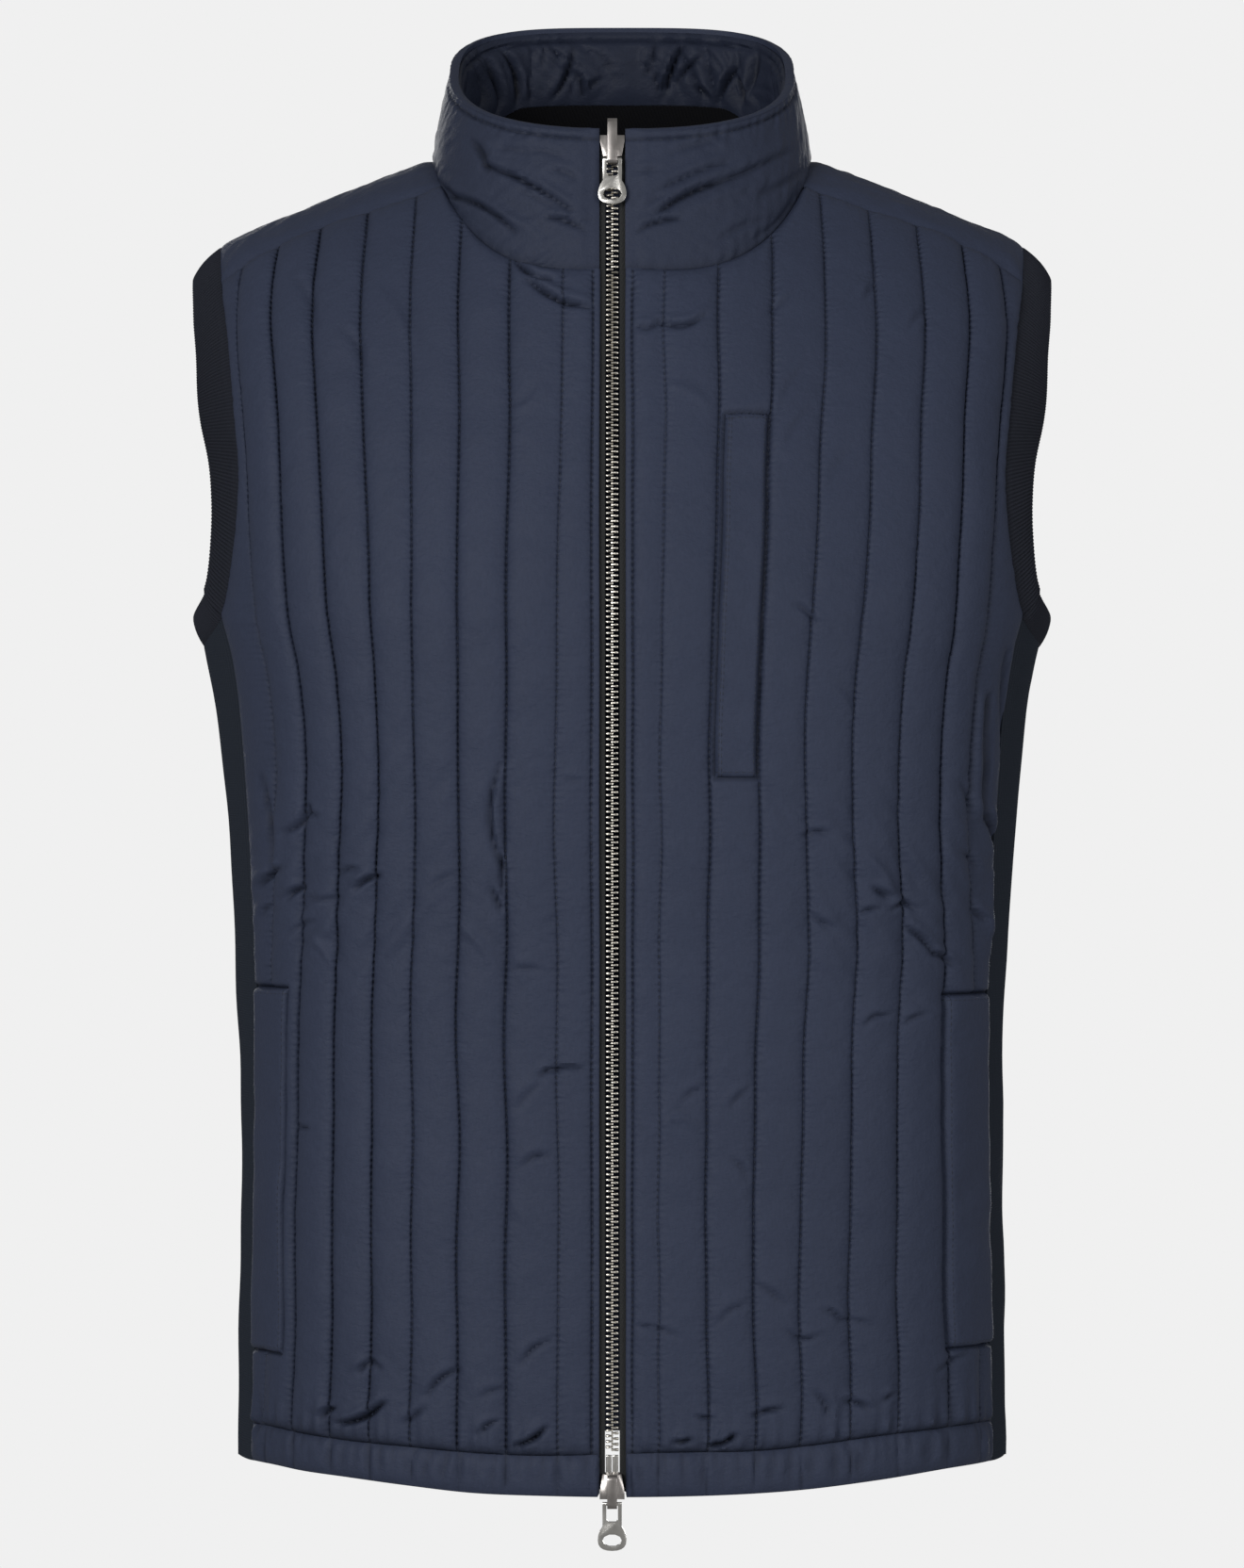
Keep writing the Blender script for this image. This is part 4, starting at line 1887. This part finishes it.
def read_grid(values, rows, columns):
    """A grid's values between its points, at rows and columns with fractions."""
    i = np.clip(rows.astype(int), 0, values.shape[0] - 2)
    j = np.clip(columns.astype(int), 0, values.shape[1] - 2)[None, :]
    f, g = (rows - i)[..., None], (columns[None, :] - j)[..., None]
    low = values[i, j] * (1 - g) + values[i, j + 1] * g
    high = values[i + 1, j] * (1 - g) + values[i + 1, j + 1] * g
    return low * (1 - f) + high * f


def welt_cloth(cloth, size):
    """A strip of cloth over a panel between two measures across and two heights, kept just
    clear of the padding below it: a low dome with rolled edges. It gives the normals, the
    strip's walls and its measures."""
    along = np.append(spaced(0, 1, 150, 0.3), 1)
    across = np.append(spaced(0, 1, 30, 0.6), 1)
    heights = cloth.base[..., 2]
    width, tall = size["to"] - size["from"], size["high"] - size["low"]
    columns = np.interp(size["from"] + width * across, cloth.u, np.arange(len(cloth.u)))
    z = size["low"] + tall * along
    rows = [np.interp(z, heights[:, int(round(c))], np.arange(len(heights))) for c in columns]
    rows = np.stack(rows, 1)
    form = read_grid(cloth.base, rows, columns)
    normal = unit(read_grid(cloth.normals, rows, columns))
    padding = np.sum((read_grid(cloth.points, rows, columns) - form) * normal, -1)
    t = along[:, None] * tall
    rolled = (1 - np.abs(2 * across[None, :] - 1) ** 8) * (1 - np.exp(-np.minimum(t, tall - t) / 0.9))
    least = padding + 0.5
    raised = size["height"] + 0.25 * waves(form[..., 0], form[..., 2], 24, size["seed"])
    lift = np.maximum(least + 0.6 * rolled, raised * rolled + least * (1 - rolled))
    walls = form + normal * lift[..., None], form + normal * (padding + 0.35)[..., None]
    return normal, walls, (across[None, :] * width, t)


class VEST_OT_welts(Operator):
    """Adds the welts of the chest pocket and the two hand pockets"""

    bl_idname = "vest.welts"
    bl_label = "Pocket Welts"

    def execute(self, context):
        places = (
            ("chest_welt", "front_left", CHEST_WELT),
            ("pocket_welt_right", "front_right", HAND_WELT_RIGHT),
            ("pocket_welt_left", "front_left", HAND_WELT_LEFT),
        )
        for name, panel_name, size in places:
            cloth = panel(panel_name)
            normal, walls, measured = welt_cloth(cloth, size)
            piece = cloth_piece(
                name + "_cloth", name, "nylon", walls, measured, turned=cloth.turned
            )
            outer = walls[0]
            runs = [(outer[:, j], normal[:, j]) for j in size["seams"]]
            runs += [(outer[i], normal[i]) for i in (3, -4)]
            stitching_piece(name + "_stitching", runs)
        return {"FINISHED"}


# Zip


def zip_run(arc, side, body_rows, collar_rows):
    """A line up the form at an arc beside the zip's middle, from the foot of the tapes to the
    collar's edge, with its normals."""

    def arc_at(level):
        return front_arc(np.full(np.shape(level), arc), level, side)

    top = float(top_level(arc_at, np.zeros(1), "front")[0])
    level = np.linspace(TAPE["low_level"], top, body_rows)[:-1]
    share = np.linspace(0, TAPE["top_share"], collar_rows)
    body = on_form(arc_at(level), level, "front")
    neck = on_collar(turn_at(ZIP_X + side * arc), share)
    return tuple(np.concatenate(both) for both in zip(body, neck))


def zip_line():
    """The zip's middle line, with the normals that keep it in one plane."""
    line, normal = zip_run(0.0, 1, 240, 60)
    line[:, 0] = ZIP_X
    normal[:, 0] = 0
    return line, unit(normal)


class VEST_OT_zip_tapes(Operator):
    """Adds the woven tapes of the zip, thin flat walls under the fronts' folded edges"""

    bl_idname = "vest.zip_tapes"
    bl_label = "Zip Tapes"

    def execute(self, context):
        for hand, side in HANDS:
            name = "zip_tape_" + hand
            columns = np.linspace(TAPE["inner"], TAPE["outer"], 7)
            runs = [zip_run(arc, side, 180, 30) for arc in columns]
            base, normal = (np.stack(lines, 1) for lines in zip(*runs))
            walls = base - normal * TAPE["front"], base - normal * TAPE["back"]
            places = along_columns(base.transpose(1, 0, 2)).T, along_columns(base)
            cloth_piece(
                name + "_weave", name, "tape", walls, places, turned=side < 0, sharp=30
            )
        return {"FINISHED"}


# Sections of a tooth from its root on the tape to its tip past the middle: place out from the
# zip's middle, half height along the zip and half depth.
TOOTH = (
    (3.03, 0.50, 0.85),
    (2.7, 0.62, 1.15),
    (1.3, 0.60, 1.2),
    (0.75, 0.40, 1.05),
    (0.15, 0.58, 1.1),
    (-0.45, 0.46, 0.9),
)
SECTION = 8


class VEST_OT_zip_teeth(Operator):
    """Sets the metal teeth along the zip, left and right by turns"""

    bl_idname = "vest.zip_teeth"
    bl_label = "Zip Teeth"

    def execute(self, context):
        sizes = context.scene.vest_sizes
        line, normal = zip_line()
        low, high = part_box("zip_chain")
        inside = (line[:, 2] >= low[2] * 1000) & (line[:, 2] <= high[2] * 1000)
        path, facing = line[inside], normal[inside]
        places, along, share = resampled(path, sizes.tooth_pitch / 2)
        out = values_along(path, facing, share)
        side = np.where(np.arange(len(places)) % 2 == 0, 1, -1)[:, None]
        centre = places - out * (CHAIN["front"] + CHAIN["back"]) / 2
        across = np.zeros_like(centre)
        across[:, 0] = 1
        rings = []
        for reach, tall, deep in TOOTH:
            for turn in (np.arange(SECTION) + 0.5) * 2 * math.pi / SECTION:
                up = np.sign(math.cos(turn)) * abs(math.cos(turn)) ** 0.6
                forward = np.sign(math.sin(turn)) * abs(math.sin(turn)) ** 0.6
                rings.append(centre + across * side * reach + along * tall * up + out * deep * forward)
        points = np.stack(rings, 1)
        local = ring_quads(len(TOOTH), SECTION)
        last = (len(TOOTH) - 1) * SECTION
        for cap, order in ((0, -1), (last, 1)):
            for k in range(1, SECTION - 2, 2):
                local.append([cap + i for i in (0, k, k + 1, k + 2)][::order])
        quads = np.arange(len(points))[:, None, None] * points.shape[1] + np.array(local)[None]
        quads = np.where(side[:, :, None] > 0, quads[:, :, ::-1], quads).reshape(-1, 4)
        mesh = fill_mesh("zip_teeth", points.reshape(-1, 3), quads, sharp=55)
        add_piece("zip_teeth", mesh, finish("teeth"), ["zip_chain"])
        return {"FINISHED"}


def softened(name, width):
    """A copy of a solid with its points merged and its edges rounded by a narrow bevel."""
    work = bpy.data.objects.new(name + "_work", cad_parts[name].data.copy())
    bpy.context.scene.collection.objects.link(work)
    weld = work.modifiers.new("weld", "WELD")
    weld.merge_threshold = 0.00002
    bevel = work.modifiers.new("bevel", "BEVEL")
    bevel.width = width
    bevel.segments = 2
    bevel.limit_method = "ANGLE"
    bevel.angle_limit = math.radians(35)
    depsgraph = bpy.context.evaluated_depsgraph_get()
    made = bpy.data.meshes.new_from_object(work.evaluated_get(depsgraph))
    bpy.data.objects.remove(work)
    made.name = name + "_metal"
    made.materials.clear()
    made.polygons.foreach_set("use_smooth", np.ones(len(made.polygons), bool))
    made.set_sharp_from_angle(angle=math.radians(40))
    return made


class VEST_OT_zip_hardware(Operator):
    """Gives the sliders, pins and pulls rounded edges and their metal"""

    bl_idname = "vest.zip_hardware"
    bl_label = "Zip Sliders and Pulls"

    def execute(self, context):
        parts = (
            ("zip_slider_top", "slider", BODY, 0.00022),
            ("zip_slider_bottom", "slider", BODY, 0.00022),
            ("zip_pin_right", "metal", BODY, 0.0003),
            ("zip_pin_left", "metal", BODY, 0.0003),
            ("zip_pull_top", "metal", "pull_top", 0.0003),
            ("zip_pull_bottom", "metal", "pull_bottom", 0.0003),
        )
        for name, surface, body, width in parts:
            mesh = softened(name, width)
            add_piece(name + "_metal", mesh, finish(surface), [name], body)
        return {"FINISHED"}


# Stage

CAMERA_DISTANCE = 2.7
CAMERA_HEIGHT = -0.3032
FRAME_HEIGHT = 0.768
SENSOR = 36.0
FLOOR_Z = -900
FLOOR_HALF = 9000
AIM = (0, 0, -0.3)


def end_in_mix(w, share, first, second, kind):
    """Ends a tree in a mix of two shaders, with a share of the second."""
    mix = w.node("ShaderNodeMixShader")
    w.link(share, mix.inputs["Fac"])
    w.link(first, mix.inputs[1])
    w.link(second, mix.inputs[2])
    w.link(mix.outputs["Shader"], w.node(kind).inputs["Surface"])


def floor_material(grey):
    """A pale glow that shows to the camera alone, and from above alone."""
    made = bpy.data.materials.new("pale floor")
    made.use_nodes = True
    made.node_tree.nodes.clear()
    w = Wiring(made.node_tree)
    glow = w.node("ShaderNodeEmission")
    glow.inputs["Color"].default_value = (grey, grey, grey, 1)
    clear = w.node("ShaderNodeBsdfTransparent")
    above = w.math("SUBTRACT", 1.0, w.node("ShaderNodeNewGeometry").outputs["Backfacing"])
    seen = w.times(w.node("ShaderNodeLightPath").outputs["Is Camera Ray"], above)
    end_in_mix(w, seen, clear.outputs["BSDF"], glow.outputs["Emission"], "ShaderNodeOutputMaterial")
    return made


def studio_world(grey, ambient):
    """White light from all round, before a backdrop that the camera sees as grey."""
    world = bpy.data.worlds.new("studio")
    world.use_nodes = True
    world.node_tree.nodes.clear()
    w = Wiring(world.node_tree)
    seen = w.node("ShaderNodeBackground")
    seen.inputs["Color"].default_value = (grey, grey, grey, 1)
    light = w.node("ShaderNodeBackground")
    light.inputs["Color"].default_value = (1, 1, 1, 1)
    light.inputs["Strength"].default_value = ambient
    share = w.node("ShaderNodeLightPath").outputs["Is Camera Ray"]
    end_in_mix(w, share, light.outputs["Background"], seen.outputs["Background"], "ShaderNodeOutputWorld")
    return world


def area_light(name, at, size, power):
    """A rectangular white light that faces the vest."""
    data = bpy.data.lights.new(name, "AREA")
    data.shape = "RECTANGLE"
    data.size, data.size_y = size
    data.energy = power
    light = bpy.data.objects.new(name, data)
    bpy.context.scene.collection.objects.link(light)
    light.location = at
    way = Vector(AIM) - Vector(at)
    light.rotation_euler = way.to_track_quat("-Z", "Y").to_euler()


class VEST_OT_stage(Operator):
    """Sets the camera, the pale backdrop and floor, and the soft studio light"""

    bl_idname = "vest.stage"
    bl_label = "Stage"

    def execute(self, context):
        settings = context.scene.vest_stage
        camera_data = bpy.data.cameras.new("camera")
        camera_data.sensor_width = SENSOR
        camera_data.lens = SENSOR * CAMERA_DISTANCE / FRAME_HEIGHT
        camera_data.clip_end = 60
        camera = bpy.data.objects.new("camera", camera_data)
        context.scene.collection.objects.link(camera)
        camera.location = (0, -CAMERA_DISTANCE, CAMERA_HEIGHT)
        camera.rotation_euler = (math.radians(90), 0, 0)
        context.scene.camera = camera
        grey = settings.backdrop
        context.scene.world = studio_world(grey, settings.ambient)
        around = ((-1, -1), (1, -1), (1, 1), (-1, 1))
        corners = np.array([(x * FLOOR_HALF, y * FLOOR_HALF, FLOOR_Z) for x, y in around])
        mesh = fill_mesh("floor", corners, np.array([[0, 1, 2, 3]]))
        floor = bpy.data.objects.new("floor", mesh)
        context.scene.collection.objects.link(floor)
        mesh.materials.append(floor_material(grey))
        area_light("key", (-1.4, -2.7, 0.35), (1.1, 1.5), settings.key_power)
        area_light("fill", (1.8, -2.4, -0.1), (1.2, 1.6), settings.fill_power)
        area_light("rear_right", (-0.9, 2.7, 0.2), (1.2, 1.6), settings.rear_power)
        area_light("rear_left", (0.8, 2.8, -0.2), (1.2, 1.6), settings.rear_power)
        context.scene.view_settings.view_transform = "Standard"
        context.scene.view_settings.look = "None"
        return {"FINISHED"}


# Settings that a user would change


def number_setting(label, meaning, value, least=0, **more):
    return FloatProperty(name=label, description=meaning, default=value, min=least, **more)


def colour_setting(label, value):
    return FloatVectorProperty(
        name=label, description=label, subtype="COLOR", size=3, min=0, max=1, default=value
    )


def size_setting(label, meaning, value, least=0):
    return number_setting(label, meaning + " in millimetres", value, least)


class VestSizes(PropertyGroup):
    """Sizes of the padding, the sewing, the knit and the zip"""

    quilt_height: size_setting("Quilting height", "Height of a channel", 3.9)
    pucker_height: size_setting("Pucker height", "Height of the puckers beside the stitching", 0.3)
    crease_depth: number_setting("Crease depth", "Factor on the depths in the crease tables", 2.1)
    stitch_pitch: size_setting("Stitch pitch", "From stitch to stitch", 3.2, 1)
    stitch_length: size_setting("Stitch length", "Length of a stitch", 2.5, 0.5)
    thread_radius: size_setting("Thread radius", "Radius of the thread", 0.2, 0.05)
    rib_height: size_setting("Rib height", "Height of the knit ribs", 0.4)
    band_ribs: IntProperty(name="Band ribs", description="Ribs round an armhole band", default=280, min=40)
    tooth_pitch: size_setting("Tooth pitch", "From tooth to tooth on one side", 2.6, 1)


class VestColours(PropertyGroup):
    nylon: colour_setting("Nylon", (0.036, 0.0452, 0.079))
    lining: colour_setting("Collar lining", (0.019, 0.024, 0.043))
    side_knit: colour_setting("Side knit", (0.021, 0.026, 0.036))
    rib_knit: colour_setting("Rib knit", (0.02, 0.022, 0.03))
    black_knit: colour_setting("Black knit", (0.004, 0.004, 0.005))
    tape: colour_setting("Zip tape", (0.015, 0.016, 0.017))
    metal: colour_setting("Pull metal", (0.78, 0.76, 0.72))
    slider: colour_setting("Slider metal", (0.46, 0.43, 0.41))
    teeth: colour_setting("Zip teeth", (0.8, 0.76, 0.68))
    thread: colour_setting("Thread", (0.016, 0.02, 0.034))


class VestStage(PropertyGroup):
    """The backdrop and the lights, whose powers are in watts"""

    backdrop: number_setting("Backdrop", "Brightness of the backdrop", 0.871, max=1)
    ambient: number_setting("Ambient light", "Strength of the light from all round", 0.24)
    key_power: number_setting("Key light", "Power of the main light", 47, unit="POWER")
    fill_power: number_setting("Fill light", "Power of the second light", 21, unit="POWER")
    rear_power: number_setting("Rear lights", "Power of each light behind", 30, unit="POWER")


STEPS = (
    VEST_OT_stage,
    VEST_OT_quilted_panels,
    VEST_OT_hem_bands,
    VEST_OT_shoulder_strips,
    VEST_OT_side_panels,
    VEST_OT_armhole_bands,
    VEST_OT_collar,
    VEST_OT_collar_inside,
    VEST_OT_welts,
    VEST_OT_zip_tapes,
    VEST_OT_zip_teeth,
    VEST_OT_zip_hardware,
)


class VEST_PT_tools(Panel):
    bl_idname = "VEST_PT_tools"
    bl_label = "Quilted Vest"
    bl_space_type = "VIEW_3D"
    bl_region_type = "UI"
    bl_category = "Vest"

    def draw(self, context):
        scene = context.scene
        for settings in (scene.vest_sizes, scene.vest_colours, scene.vest_stage):
            box = self.layout.box()
            for name in settings.__annotations__:
                box.prop(settings, name)
        for step in STEPS:
            self.layout.operator(step.bl_idname)


CLASSES = (VestSizes, VestColours, VestStage, *STEPS, VEST_PT_tools)


def register():
    for kind in CLASSES:
        bpy.utils.register_class(kind)
    bpy.types.Scene.vest_sizes = PointerProperty(type=VestSizes)
    bpy.types.Scene.vest_colours = PointerProperty(type=VestColours)
    bpy.types.Scene.vest_stage = PointerProperty(type=VestStage)


def unregister():
    for name in ("vest_sizes", "vest_colours", "vest_stage"):
        delattr(bpy.types.Scene, name)
    for kind in reversed(CLASSES):
        bpy.utils.unregister_class(kind)


def main():
    register()
    for step in STEPS:
        getattr(bpy.ops.vest, step.bl_idname.split(".")[1])()
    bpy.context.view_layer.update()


if __name__ == "__main__":
    main()
